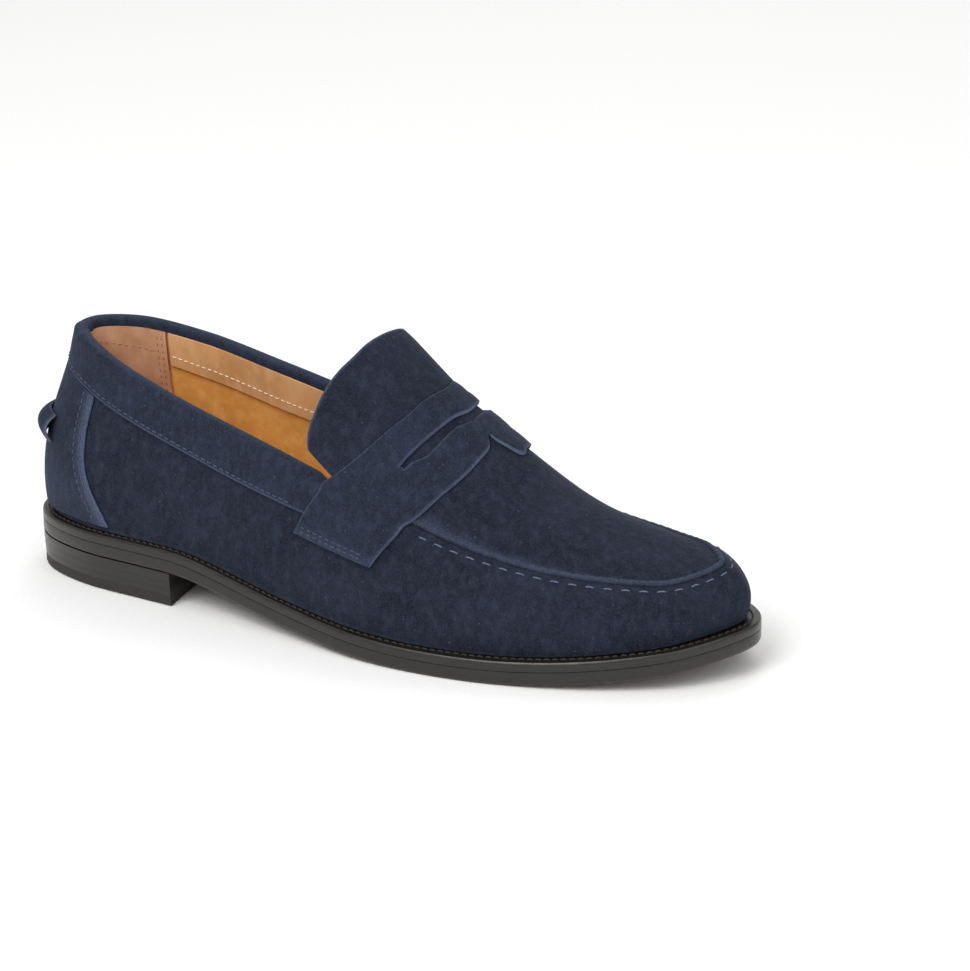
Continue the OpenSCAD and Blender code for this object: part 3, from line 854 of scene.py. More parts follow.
def sew(path: Array, outward: Array, thread: Palette, gauge: Gauge) -> StitchRow:
    """Lay evenly pitched stitches along a path.

    Args:
        path: Points of the seam.
        outward: Direction away from the leather at each point.
        thread: Thread it is sewn with.
        gauge: Sizes of the seam.

    Returns:
        The row, not yet built.
    """
    run = np.concatenate([[0], np.cumsum(np.linalg.norm(np.diff(path, axis=0), axis=1))])
    count = max(int(round(run[-1] / gauge.pitch)), 1)
    f = np.interp((np.arange(count) + 0.5) / count * run[-1], run, np.linspace(0, 1, len(path))) * (len(path) - 1)
    i = np.clip(f.astype(int), 0, len(path) - 2)
    share = (f - i)[:, None]
    return StitchRow(mix(path[i], path[i + 1], share), path[i + 1] - path[i],
                     mix(outward[i], outward[i + 1], share), thread, gauge)


def seam(skin: Callable[..., Array], t: Array, v: Array, depth: float, thread: Palette, gauge: Gauge,
         out: float = -1.0) -> StitchRow:
    """Sew along places on the upper.

    Args:
        skin: The last's surface that t and v read.
        t: Places round the sole.
        v: Heights or girths.
        depth: Depth of the leather's face.
        thread: Thread it is sewn with.
        gauge: Sizes of the seam.
        out: Change of depth away from the leather: -1 outside the shoe, 1 inside.

    Returns:
        The row, not yet built.
    """
    path = skin(t, v, depth)
    return sew(path, skin(t, v, depth + out) - path, thread, gauge)


def join_rows(rows: list[StitchRow]) -> StitchRow:
    """Make one stitch row out of several."""
    joined = [np.concatenate([getattr(r, part) for r in rows]) for part in ("centres", "along", "outward")]
    return StitchRow(*joined, rows[0].thread, rows[0].gauge)


def smooth_run(values: Array, rounds: int) -> Array:
    """Even out a run of values, its ends kept.

    Args:
        values: The run.
        rounds: How many times to even it out.

    Returns:
        The smoother run.
    """
    values = values.copy()
    for _ in range(rounds):
        values[1:-1] += 0.5 * ((values[:-2] + values[2:]) / 2 - values[1:-1])
    return values


def drape(grid: Array, fold: Array, rounds: int) -> Array:
    """Let leather hang over a fold instead of following its corner.

    Args:
        grid: Rows of points running across the fold.
        fold: How far each column may move, from 0 to 1.
        rounds: How many times to even it out.

    Returns:
        The eased grid.
    """
    grid = grid.copy()
    for _ in range(rounds):
        grid[:, 1:-1] += 0.5 * fold[None, 1:-1, None] * ((grid[:, :-2] + grid[:, 2:]) / 2 - grid[:, 1:-1])
    return grid


def settle(piece: bpy.types.Object, node: str) -> None:
    """Ride a piece on the shoe, name the node it stands for, and report it.

    Args:
        piece: The finished piece.
        node: CAD node it replaces.
    """
    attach(piece, SHOE)
    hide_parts(node)
    LOG.info("%s: %d faces, stands for %s", piece.name, len(piece.data.polygons), node)


# ---------------------------------------------------------------- sub-assemblies


@dataclass
class Sole:
    """Heel stack, leather outsole, storm welt and its stitching."""

    breast: float = 3.4
    top_lift: float = 4.2
    play: float = 0.04
    slices: int = 264
    welt_seam: Gauge = Gauge(3.1, 2.5, 0.33, 0.26)

    # Inset and height of each cut edge, from the underside up
    OUTSOLE_EDGE: ClassVar[tuple[tuple[float, float], ...]] = (
        (1.3, 0.0), (0.45, 0.22), (0.1, 0.8), (0.0, 1.6), (0.0, 4.9), (0.07, 5.1), (0.3, 5.18))
    WELT_EDGE: ClassVar[tuple[tuple[float, float], ...]] = (
        (0.3, 5.24), (0.07, 5.3), (0.0, 5.5), (0.0, 7.7), (0.12, 8.35), (0.5, 8.85), (1.1, 9.0), (9.5, 9.0),
        (9.5, 5.3))

    def rim(self, profile: tuple[tuple[float, float], ...]) -> Array:
        """Run an edge profile right round the sole.

        Args:
            profile: Inset and height of each line of the edge.

        Returns:
            One row of points for each place round the sole.
        """
        t = np.linspace(0, LAST.TURN, self.slices, endpoint=False)
        rings = []
        for inset, height in profile:
            p = LAST.outline(t, np.full(len(t), inset))
            rings.append(np.column_stack([p, LAST.ground(p[:, 0]) + height]))
        return np.stack(rings, 1)

    def outsole(self) -> bpy.types.Object:
        """Leather slab over the whole sole, its lowest edge lines worn.

        Returns:
            The slab.
        """
        points = self.rim(self.OUTSOLE_EDGE)
        n, k = points.shape[:2]
        faces = [(i * k + j, (i + 1) % n * k + j, (i + 1) % n * k + j + 1, i * k + j + 1)
                 for i in range(n) for j in range(k - 1)]
        for j in (0, k - 1):
            for i in range(n // 2):
                across = dict.fromkeys((i, i + 1, (n - i - 1) % n, (n - i) % n))
                faces.append(tuple(q * k + j for q in across))
        rub_and_highlight = np.zeros((n, k))
        rub_and_highlight[:, :2] = 0.75
        return make_piece("outsole_slab", points, faces, [Palette.SOLE_EDGE], rub_and_highlight, crease=35)

    def heel_path(self, inset: float) -> Array:
        """Outline of the heel in plan, with its hollowed breast.

        Args:
            inset: Distance inside the sole's outline.

        Returns:
            Points of the closed outline.
        """
        back = LAST.outline(np.linspace(-self.breast, self.breast, 121), inset)
        f = np.linspace(0, 1, 31)[1:-1, None]
        hollow = mix(back[-1], back[0], f) - np.concatenate([4 * np.sin(np.pi * f), 0 * f], 1)
        return np.concatenate([back, hollow])

    def lift(self, name: str, low: float, high: float, inset: float, finish: Palette,
             rounding: float) -> bpy.types.Object:
        """One lift of the heel stack with its lower edge eased.

        Args:
            name: Name of the piece.
            low: Height of its underside.
            high: Height of its top.
            inset: Distance inside the sole's outline.
            finish: Its stock.
            rounding: Size of the eased edge.

        Returns:
            The lift.
        """
        edges = [(rounding + 0.1, low), (0.3 * rounding, low + rounding * 0.3), (0.0, low + rounding), (0.0, high)]
        paths = [(self.heel_path(inset + grow), z) for grow, z in edges]
        rings = [np.column_stack([p, np.full(len(p), z)]) for p, z in paths]
        n, k = len(rings[0]), len(rings)
        faces = [(j * n + i, j * n + (i + 1) % n, (j + 1) * n + (i + 1) % n, (j + 1) * n + i)
                 for j in range(k - 1) for i in range(n)]
        faces += [tuple(range(n)), tuple(range((k - 1) * n, k * n))]
        return make_piece(name, np.concatenate(rings), faces, [finish], crease=35)

    def build(self) -> None:
        """Build and place every piece of the sole."""
        settle(self.outsole(), "outsole")
        welt = Loft("storm_welt", self.rim(self.WELT_EDGE), Palette.WELT, ring=True, crease=35)
        settle(welt.build(), "welt")
        t = np.linspace(0, LAST.TURN, 1601)
        edge = LAST.outline(t, LAST.rows(t)[:, 2] * 0.62)
        line = np.column_stack([edge, LAST.ground(edge[:, 0]) + LAST.seat + 0.05])
        stitches = sew(line, np.tile([0, 0, 1.0], (len(line), 1)), Palette.WELT_THREAD, self.welt_seam)
        settle(stitches.build("welt_lockstitches"), "welt_stitches")
        settle(self.lift("rubber_top_lift", 0.0, self.top_lift, 0.7, Palette.RUBBER, 0.8), "top_lift")
        step = (LAST.heel_height - 0.25 - self.top_lift) / 3
        for k, node in enumerate(("heel_lift_low", "heel_lift_mid", "heel_lift_high")):
            low = self.top_lift + k * step + self.play
            settle(self.lift(f"leather_{node}", low, low + step, 0.6 - 0.2 * k, Palette.SOLE_EDGE, 0.1),
                   node)


@dataclass
class Upper:
    """Side wall, collar band, topline roll, heel strip and pull tab."""

    laid: float = 0.3
    proud: float = 1.6
    tucked_end: float = 5.42
    roll_foot: float = 3.3
    lining_depth: float = 5.0
    tab_half: float = 1.25
    collar_seam: Gauge = Gauge(3.0, 2.1, 0.24, 0.16)
    strip_seam: Gauge = Gauge(2.9, 2.0, 0.24, 0.16)

    # Front edge of the heel strip: height on the wall, place
    STRIP: ClassVar[tuple[tuple[float, float], ...]] = (
        (0, 2.5), (0.1, 2.34), (0.2, 2.16), (0.3, 2.05), (0.42, 2.02), (0.72, 2.1))

    def side_wall(self) -> bpy.types.Object:
        """The side wall, feather line to top edge, right round the shoe, with faint hand-lasted waves.

        Returns:
            The wall.
        """
        t = np.linspace(0, 22, 440, endpoint=False)
        gap = np.interp(np.minimum(t, 22 - t), [5.2, 5.7], [LAST.roll_height + 0.2, 1.5])
        top = LAST.share_under(t, gap)
        v = 0.004 + (top[:, None] - 0.004) * np.linspace(0, 1, 37)[None]
        t = np.repeat(t[:, None], 37, 1)
        sway = 0.16 * np.sin(t * 2.9 + 1.1) * np.sin(v * 6.3 + t) + 0.1 * np.sin(t * 7.3 + 5 * v)
        fade = np.sin(np.pi * np.clip(v, 0, 1)) ** 0.8
        rub_and_highlight = np.clip(1 - v / 0.02, 0, 1) * 0.25
        return Layer("side_wall", LAST.wall(t, v, -sway * fade * 0.6), LAST.wall(t, v, LAST.suede),
                     Palette.NAVY_SUEDE, ring=True, rub_and_highlight=rub_and_highlight, rounding_mm=0).build()

    def collar_band(self) -> bpy.types.Object:
        """Collar band with its raw lower edge, its ends tucked under the strap.

        Returns:
            The band.
        """
        t = np.linspace(-self.tucked_end, self.tucked_end, 349)
        foot, top = LAST.band_foot(t), LAST.share_under(t, self.roll_foot)
        f = np.concatenate([[0, 0.04, 0.09], np.linspace(0.16, 1, 12)])
        v = mix(foot[:, None], top[:, None], f[None])
        rub_and_highlight = np.repeat(np.where(f < 0.03, 0.7, np.where(f < 0.06, 0.25, 0.0))[None], len(t), 0)
        t = np.repeat(t[:, None], len(f), 1)
        tuck = np.clip((np.abs(t) - Apron.rear_edge(v) + 0.14) / 0.18, 0, 1)
        swell = 0.3 * np.sin(np.pi * np.clip((f - 0.12) / 0.95, 0, 1))[None]
        return Layer("collar_band_suede", LAST.wall(t, v, mix(-self.proud - swell, -0.65, tuck)),
                     LAST.wall(t, v, -self.laid), Palette.LIGHT_SUEDE, Palette.RAW_EDGE, rub_and_highlight=rub_and_highlight).build()

    def topline_roll(self) -> bpy.types.Object:
        """Padded roll folded over the topline, flattened where it runs under the strap.

        Returns:
            The roll.
        """
        t = np.linspace(-self.tucked_end, self.tucked_end, 321)
        tuck = np.clip((np.abs(t) - 5.12) / 0.24, 0, 1)
        tuck = tuck * tuck * (3 - 2 * tuck)
        v = LAST.share_under(t, self.roll_foot)
        inner, outer = LAST.wall(t, v, self.lining_depth), LAST.wall(t, v, mix(-1.66, -0.4, tuck))
        up = unit(LAST.wall(t, 1) - LAST.wall(t, v))
        turn = np.linspace(0, np.pi, 15)
        lean = (1 + np.cos(turn)) / 2
        rise = 0.3 + LAST.roll_height * np.sin(turn) ** 0.8
        rise[0] -= 0.7
        sections = (mix(inner[:, None], outer[:, None], lean[None, :, None])
                    + up[:, None] * (rise[None, :] * mix(1.0, 0.12, tuck)[:, None])[..., None])
        # Painted highlight: the roll's crest is drawn lighter where it faces up to the lamps.
        rub_and_highlight = np.tile(np.clip(rise / 3.4 - 0.75, 0, 1) * 0.9, (len(t), 1))
        roll = Loft("topline_roll_padded", sections, Palette.LIGHT_SUEDE, rub_and_highlight=rub_and_highlight, crease=70).build()
        return roll

    def heel_strip(self) -> bpy.types.Object:
        """Heel strip that covers the back seam.

        Returns:
            The strip.
        """
        f = np.concatenate([[0, 0.012, 0.03], np.linspace(0.06, 0.94, 61), [0.97, 0.988, 1]])
        g = np.linspace(0, 1, 41)
        t = curve_through(self.STRIP, mix(0.03, 0.71, g))[None] * (2 * f[:, None] - 1)
        v = mix(0.03, LAST.band_foot(t) - 0.015, g[None])
        side = np.minimum(f, 1 - f)[:, None] * np.ones_like(g)[None]
        rub_and_highlight = np.where(side < 0.02, 0.7, np.where(side < 0.04, 0.25, 0.0)) + 0.12 * np.exp(-((v - 0.12) / 0.1) ** 2)
        return Layer("heel_strip_suede", LAST.wall(t, v, -self.proud), LAST.wall(t, v, -self.laid),
                     Palette.LIGHT_SUEDE, Palette.RAW_EDGE, rub_and_highlight=rub_and_highlight).build()

    def pull_tab(self) -> bpy.types.Object:
        """Pull tab at the back: a loop sewn at top and bottom, open at its sides.

        Returns:
            The loop.
        """
        a, b = np.linspace(-1, 1, 41)[:, None], np.linspace(0, 1, 21)[None]
        inner = -1.9 - (0.1 + 3.3 * np.sin(np.pi * b) + 0 * a)
        t, v = a * self.tab_half + 0 * b, 0.33 + 0.14 * b + 0 * a
        rub_and_highlight = np.clip(np.abs(a) * 12 - 11, 0, 1) * np.ones_like(b) * 0.8
        return Layer("pull_tab_loop", LAST.wall(t, v, inner - 1.1), LAST.wall(t, v, inner),
                     Palette.NAVY_SUEDE, Palette.RAW_EDGE, rub_and_highlight=rub_and_highlight, rounding_mm=0.4).build()

    def build(self) -> None:
        """Build and place every piece of the upper."""
        settle(self.side_wall(), "vamp_wall")
        settle(self.collar_band(), "collar_band")
        settle(self.topline_roll(), "topline_roll")
        settle(self.heel_strip(), "heel_strip")
        settle(self.pull_tab(), "pull_tab")
        face = -self.proud - 0.02
        t = np.linspace(-4.95, 4.95, 900)
        collar = seam(LAST.wall, t, LAST.band_foot(t) + 0.03, face, Palette.DARK_THREAD, self.collar_seam)
        settle(collar.build("collar_band_stitches"), "collar_stitches")
        v = np.linspace(0.05, 0.7, 160)
        rows = [seam(LAST.wall, side * (curve_through(self.STRIP, v) - back), v, face, Palette.DARK_THREAD,
                     self.strip_seam) for side in (-1, 1) for back in (0.08, 0.2)]
        settle(join_rows(rows).build("heel_strip_double_stitches"), "heel_strip_stitches")


@dataclass
class Apron:
    """Moccasin apron with its raised hand-sewn seam."""

    ridge: float = 1.4
    gathers: int = 62
    hand_seam: Gauge = Gauge(6.4, 3.4, 0.3, 0.2)

    REAR: ClassVar[tuple[tuple[float, float], ...]] = (
        (0.3, 5.0), (0.45, 5.07), (0.6, 5.15), (0.8, 5.27), (1, 5.4), (1.08, 5.68), (1.15, 5.88), (1.23, 6.06),
        (1.34, 6.18), (1.48, 6.26), (1.5, 6.265))

    @classmethod
    def rear_edge(cls, g: Array) -> Array:
        """Rear edge of strap and apron over the girth, the same on both sides."""
        return curve_through(cls.REAR, np.where(np.asarray(g, float) > 1.5, 3 - g, g))

    @classmethod
    def skin(cls, depth: float, cells: tuple[int, int], margin: float, near: float,
             end: float) -> tuple[Array, Array]:
        """Grid over the apron.

        Args:
            depth: Distance inward from the skin; the outer face, at 0, curls up at its edge.
            cells: Rows towards the toe and columns across.
            margin: Gap to the top edge of the wall.
            near: How far in front of the strap's rear edge it starts.
            end: Place t at which it stops at the toe.

        Returns:
            The points and their wear.
        """
        i, w = np.linspace(0, 1, cells[0])[:, None] ** 0.85, np.linspace(0, 1, cells[1])[None]
        a = mix(cls.rear_edge(1 + w) + near, end, i)
        span = np.linalg.norm(LAST.wall(22 - a, 1.0) - LAST.wall(a, 1.0), axis=-1)
        k = np.minimum(margin * (1 + np.maximum(a - 9, 0)) / span, 0.4)
        share = mix(k, 1 - k, w)
        side = np.minimum(share - k, 1 - k - share) * span
        curl = np.maximum(np.clip(1 - side / 2.2, 0, 1), np.clip(1 - (end - a) / 0.22, 0, 1)) ** 2 * 0.9
        lift = 0.4 * curl if depth == 0 else 0.0
        return LAST.arch(a, share, depth - lift), np.clip(curl * 0.55, 0, 1)

    def seam_ridge(self) -> Loft:
        """Ridge of gathered leather where apron and wall are sewn together.

        Returns:
            The ridge, not yet built.
        """
        t = np.linspace(6.4, 15.55, 500)
        side = np.column_stack([LAST.normal(t), 0 * t])
        gather = 1 + 0.07 * np.sin(np.linspace(0, 1, len(t)) * 2 * np.pi * self.gathers)
        turn = np.linspace(0, 2 * np.pi, 14, endpoint=False)
        bead = (np.cos(turn)[None, :, None] * side[:, None] * self.ridge
                + np.sin(turn)[None, :, None] * np.array([0, 0, 1.0]) * self.ridge * gather[:, None, None])
        middle = (LAST.wall(t, 1.0) - 0.2 * side)[:, None]
        # Painted highlight: the bead is drawn lighter on its top and outer side, where the lamps fall on it.
        rub_and_highlight = np.tile(np.clip(np.sin(turn) * 0.8 - 0.15 + 0.35 * np.cos(turn), 0, 1) * 0.6, (len(t), 1))
        return Loft("apron_seam_ridge", middle + bead + np.array([0, 0, -0.15]), Palette.NAVY_SUEDE,
                    rub_and_highlight=rub_and_highlight, crease=80, taper=0.5)

    def build(self) -> None:
        """Build and place apron, seam ridge and stitches."""
        outer, rub_and_highlight = self.skin(0, (120, 61), 0.3, 0.06, 10.78)
        inner, _ = self.skin(LAST.suede, (120, 61), 0.5, 0.06, 10.78)
        settle(Layer("apron_suede", outer, inner, Palette.NAVY_SUEDE, Palette.RAW_EDGE, rub_and_highlight=rub_and_highlight).build(),
               "apron")
        settle(self.seam_ridge().build(), "seam_ridge")
        t = np.linspace(6.5, 15.5, 900)
        stitches = seam(LAST.wall, t, LAST.share_under(t, 4.2), 0.0, Palette.NAVY_THREAD, self.hand_seam)
        settle(stitches.build("apron_hand_stitches"), "apron_stitches")


@dataclass
class Strap:
    """Penny strap with its cut slot, outer lobe and inner tab."""

    end: float = 0.45
    low: float = 0.8
    thick: float = 1.3
    slot: tuple[float, float] = (1.11, 1.86)
    notch: tuple[float, float] = (1.464, 1.468)
    end_seam: Gauge = Gauge(3.0, 2.1, 0.24, 0.2)

    # Edges of the strap and its slot: girth, place
    FRONT: ClassVar[tuple[tuple[float, float], ...]] = (
        (0.45, 6.08), (0.75, 6.31), (0.96, 6.43), (1.05, 6.57), (1.11, 6.71), (1.2, 6.85), (1.3, 6.92),
        (1.4, 6.93), (1.46, 6.88), (1.49, 7.02), (1.52, 7.16), (1.57, 7.2), (1.63, 7.14), (1.75, 7.05),
        (1.9, 6.8), (2.04, 6.43), (2.25, 6.31), (2.55, 6.08))
    SLOT_REAR: ClassVar[tuple[tuple[float, float], ...]] = (
        (1.11, 6.17), (1.16, 6.26), (1.26, 6.4), (1.39, 6.5), (1.5, 6.55), (1.6, 6.52), (1.72, 6.42),
        (1.8, 6.3), (1.86, 6.2))
    SLOT_FRONT: ClassVar[tuple[tuple[float, float], ...]] = (
        (1.11, 6.19), (1.13, 6.28), (1.16, 6.39), (1.24, 6.5), (1.35, 6.58), (1.45, 6.66), (1.5, 6.65),
        (1.6, 6.63), (1.72, 6.55), (1.8, 6.42), (1.86, 6.24))

    @staticmethod
    def corner(g: Array, end: float, size: float) -> Array:
        """Share by which an edge turns in as it nears a cut.

        Args:
            g: Girths.
            end: Girth of the cut.
            size: Length of the turn; a negative size comes from beyond the cut.

        Returns:
            The share at each girth.
        """
        away = (end - g) / size
        u = np.where(away < -1e-6, 0, np.clip(1 - away, 0, 1))
        return 1 - np.sqrt(np.clip(1 - u * u, 0, 1))

    def leather(self) -> Layer:
        """The strap: a rear and a front half, parted by the slot, the front one notched beside the lobe.

        Returns:
            The strap, not yet built.
        """
        (start, stop), (left, right) = self.slot, self.notch
        g = np.unique(np.round(np.concatenate([
            np.linspace(self.end, start, 70), np.linspace(start, 1.16, 11), np.linspace(1.16, 1.8, 97),
            np.linspace(1.8, stop, 9), np.linspace(stop, 3 - self.end, 70), self.notch]), 5))
        rear, front = Apron.rear_edge(g), smooth_run(curve_through(self.FRONT, g), 3)
        front = front - 0.075 * self.corner(g, left, 0.04) - 0.05 * self.corner(g, right, -0.015)
        inside = (g > start - 1e-4) & (g < stop + 1e-4)
        p = np.where(inside, curve_through(self.SLOT_REAR, g), mix(rear, front, 0.46))
        q = smooth_run(curve_through(self.SLOT_FRONT, g), 14) + 0.04 * self.corner(g, left, 0.03)
        q = np.where(inside, np.maximum(q, p + 0.004), mix(rear, front, 0.54))
        f = np.array([0, 0.02, 0.06, *np.linspace(0.12, 0.88, 9), 0.94, 0.98, 1])[:, None]
        t = np.concatenate([mix(rear, p, f), mix(p, q, 0.5)[None], mix(q, front, f)], 0)
        rows, middle = len(t), len(f)
        near_edge = np.concatenate([np.minimum(f, 1 - f), [[0.5]], np.minimum(f, 1 - f)]) * np.ones(len(g))
        rub_and_highlight = np.where(near_edge < 0.01, 0.6, np.where(near_edge < 0.03, 0.3, 0.0))
        rub_and_highlight[4:rows - 4, ~inside] = 0.0
        pucker = np.clip(1 - np.minimum(g - self.end, 3 - self.end - g) / 0.1, 0, 1)
        swell = 0.25 * np.sin(np.pi * np.clip(near_edge * 2, 0, 1)) + 0.12 * np.sin(g * 160) * pucker
        gone = np.zeros((rows - 1, len(g) - 1), bool)
        gone[middle - 1:middle + 1, inside[:-1] & inside[1:]] = True
        gone[middle + 1:, (g[:-1] > left - 1e-4) & (g[1:] < right + 1e-4)] = True
        fold = sum(np.clip(1.25 - np.abs(g - crest) / 0.13, 0, 1) for crest in (1, 2))
        g = np.repeat(g[None], rows, 0)
        outer = drape(LAST.girth(t, g, -self.low - self.thick - swell), fold, 70)
        inner = drape(LAST.girth(t, g, -self.low), fold, 70)
        return Layer("penny_strap", outer, inner, Palette.LIGHT_SUEDE, Palette.RAW_EDGE, gone=gone,
                     rub_and_highlight=np.maximum(rub_and_highlight, pucker * 0.3), rounding_mm=0.3)

    def build(self) -> None:
        """Build and place the strap and its end stitches."""
        settle(self.leather().build(), "strap")
        t = np.linspace(5.14, 5.98, 80)
        rows = [seam(LAST.girth, t, np.full_like(t, end + back * way), -self.low - self.thick - 0.02,
                     Palette.DARK_THREAD, self.end_seam)
                for end, way in ((self.end, 1), (3 - self.end, -1)) for back in (0.03, 0.06)]
        settle(join_rows(rows).build("strap_end_stitches"), "strap_stitches")


@dataclass
class Tongue:
    """Tongue that rises from the strap, its lining riding on the tongue flap."""

    length: float = 30
    half: float = 34.1
    middle: float = -3.6
    tail: float = 8
    LEAN: ClassVar[Array] = np.array([-0.76, 0.0, 0.65])

    @staticmethod
    def root(g: Array) -> Array:
        """Line along the strap's rear edge from which the tongue starts."""
        return LAST.girth(Apron.rear_edge(g), g, -1.95)

    def face(self, g: Array, s: Array, depth: Array) -> Array:
        """Points on the tongue.

        Args:
            g: Girths at the root.
            s: Millimetres up from the root.
            depth: Distance from the outer face.

        Returns:
            Points in millimetres.
        """
        n = unit(np.cross(self.LEAN, self.root(g + 0.03) - self.root(g - 0.03)))
        return self.root(g) + s[..., None] * self.LEAN + np.asarray(depth)[..., None] * n

    def grid(self, trim: float, depth: float, tuck: float) -> tuple[Array, Array]:
        """Grid over the tongue, with a thin tail tucked under the strap.

        Args:
            trim: Distance inside the tongue's outline.
            depth: Distance from its outer face.
            tuck: Length of the tail.

        Returns:
            The points and their wear.
        """
        spread = np.sin(np.linspace(-1, 1, 81) * np.pi / 2)
        g = np.repeat((1.531 + (0.529 - trim / 60) * spread)[:, None], 34, 1)
        y = self.root(g)[..., 1]
        k = np.clip(np.abs(y - self.middle) / self.half, 0, 1)
        reach = self.length * (1 - k**6) ** 0.45 * (1 - 0.08 * np.clip((y + 4) / 10, 0, 1))
        reach = np.maximum(reach - trim, 1.3 + trim / 2)
        f = np.concatenate([np.linspace(-1, -0.15, 4), np.linspace(0, 0.9, 22), np.linspace(0.925, 1, 8)])[None]
        start = 0.65 + trim / 2
        tail = tuck * (0.35 + 0.65 * k**2 - 0.85 * np.clip((k - 0.88) / 0.1, 0, 1))
        s = np.where(f < 0, start + f * tail, start + np.maximum(f, 0) * (reach - start))
        curl = 0.5 * np.clip((s - reach + 8) / 8, 0, 1) ** 2
        under = np.clip((start - s) / 1.6, 0, 1)
        sunk = np.where(under > 0, depth * mix(1.0, 0.4, under) + 1.2 * under, depth)
        return self.face(g, s, sunk + curl), np.clip(1 - (reach - s) / 1.2, 0, 1) * 0.8

    def build(self) -> None:
        """Build the tongue, its tail tucked under the strap, and its lining on the tongue flap."""
        outer, rub_and_highlight = self.grid(0, 0.0, self.tail)
        inner, _ = self.grid(0, LAST.suede, self.tail)
        leather = Layer("tongue_suede", outer, inner, Palette.NAVY_SUEDE, Palette.RAW_EDGE, rub_and_highlight=rub_and_highlight,
                        rounding_mm=0.4).build()
        outer, rub_and_highlight = self.grid(0.8, LAST.suede + 0.2, 0.3)
        inner, _ = self.grid(0.8, LAST.suede + 1.0, 0.3)
        lining = Layer("tongue_calf_lining", outer, inner, Palette.TAN_CALF, rub_and_highlight=rub_and_highlight, rounding_mm=0.25).build()
        hinge, lean = place_in_frame(self.face(np.array(1.5), np.array(0.0), np.array(0.0)))[0], self.LEAN * MM
        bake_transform(leather)
        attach(lining, FLAP)
        for piece, node, slot in ((leather, "tongue", "navy_suede"), (lining, "tongue_lining", "tan_lining")):
            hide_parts(node)
            LOG.info("%s: %d faces, stands for %s", piece.name, len(piece.data.polygons), node)


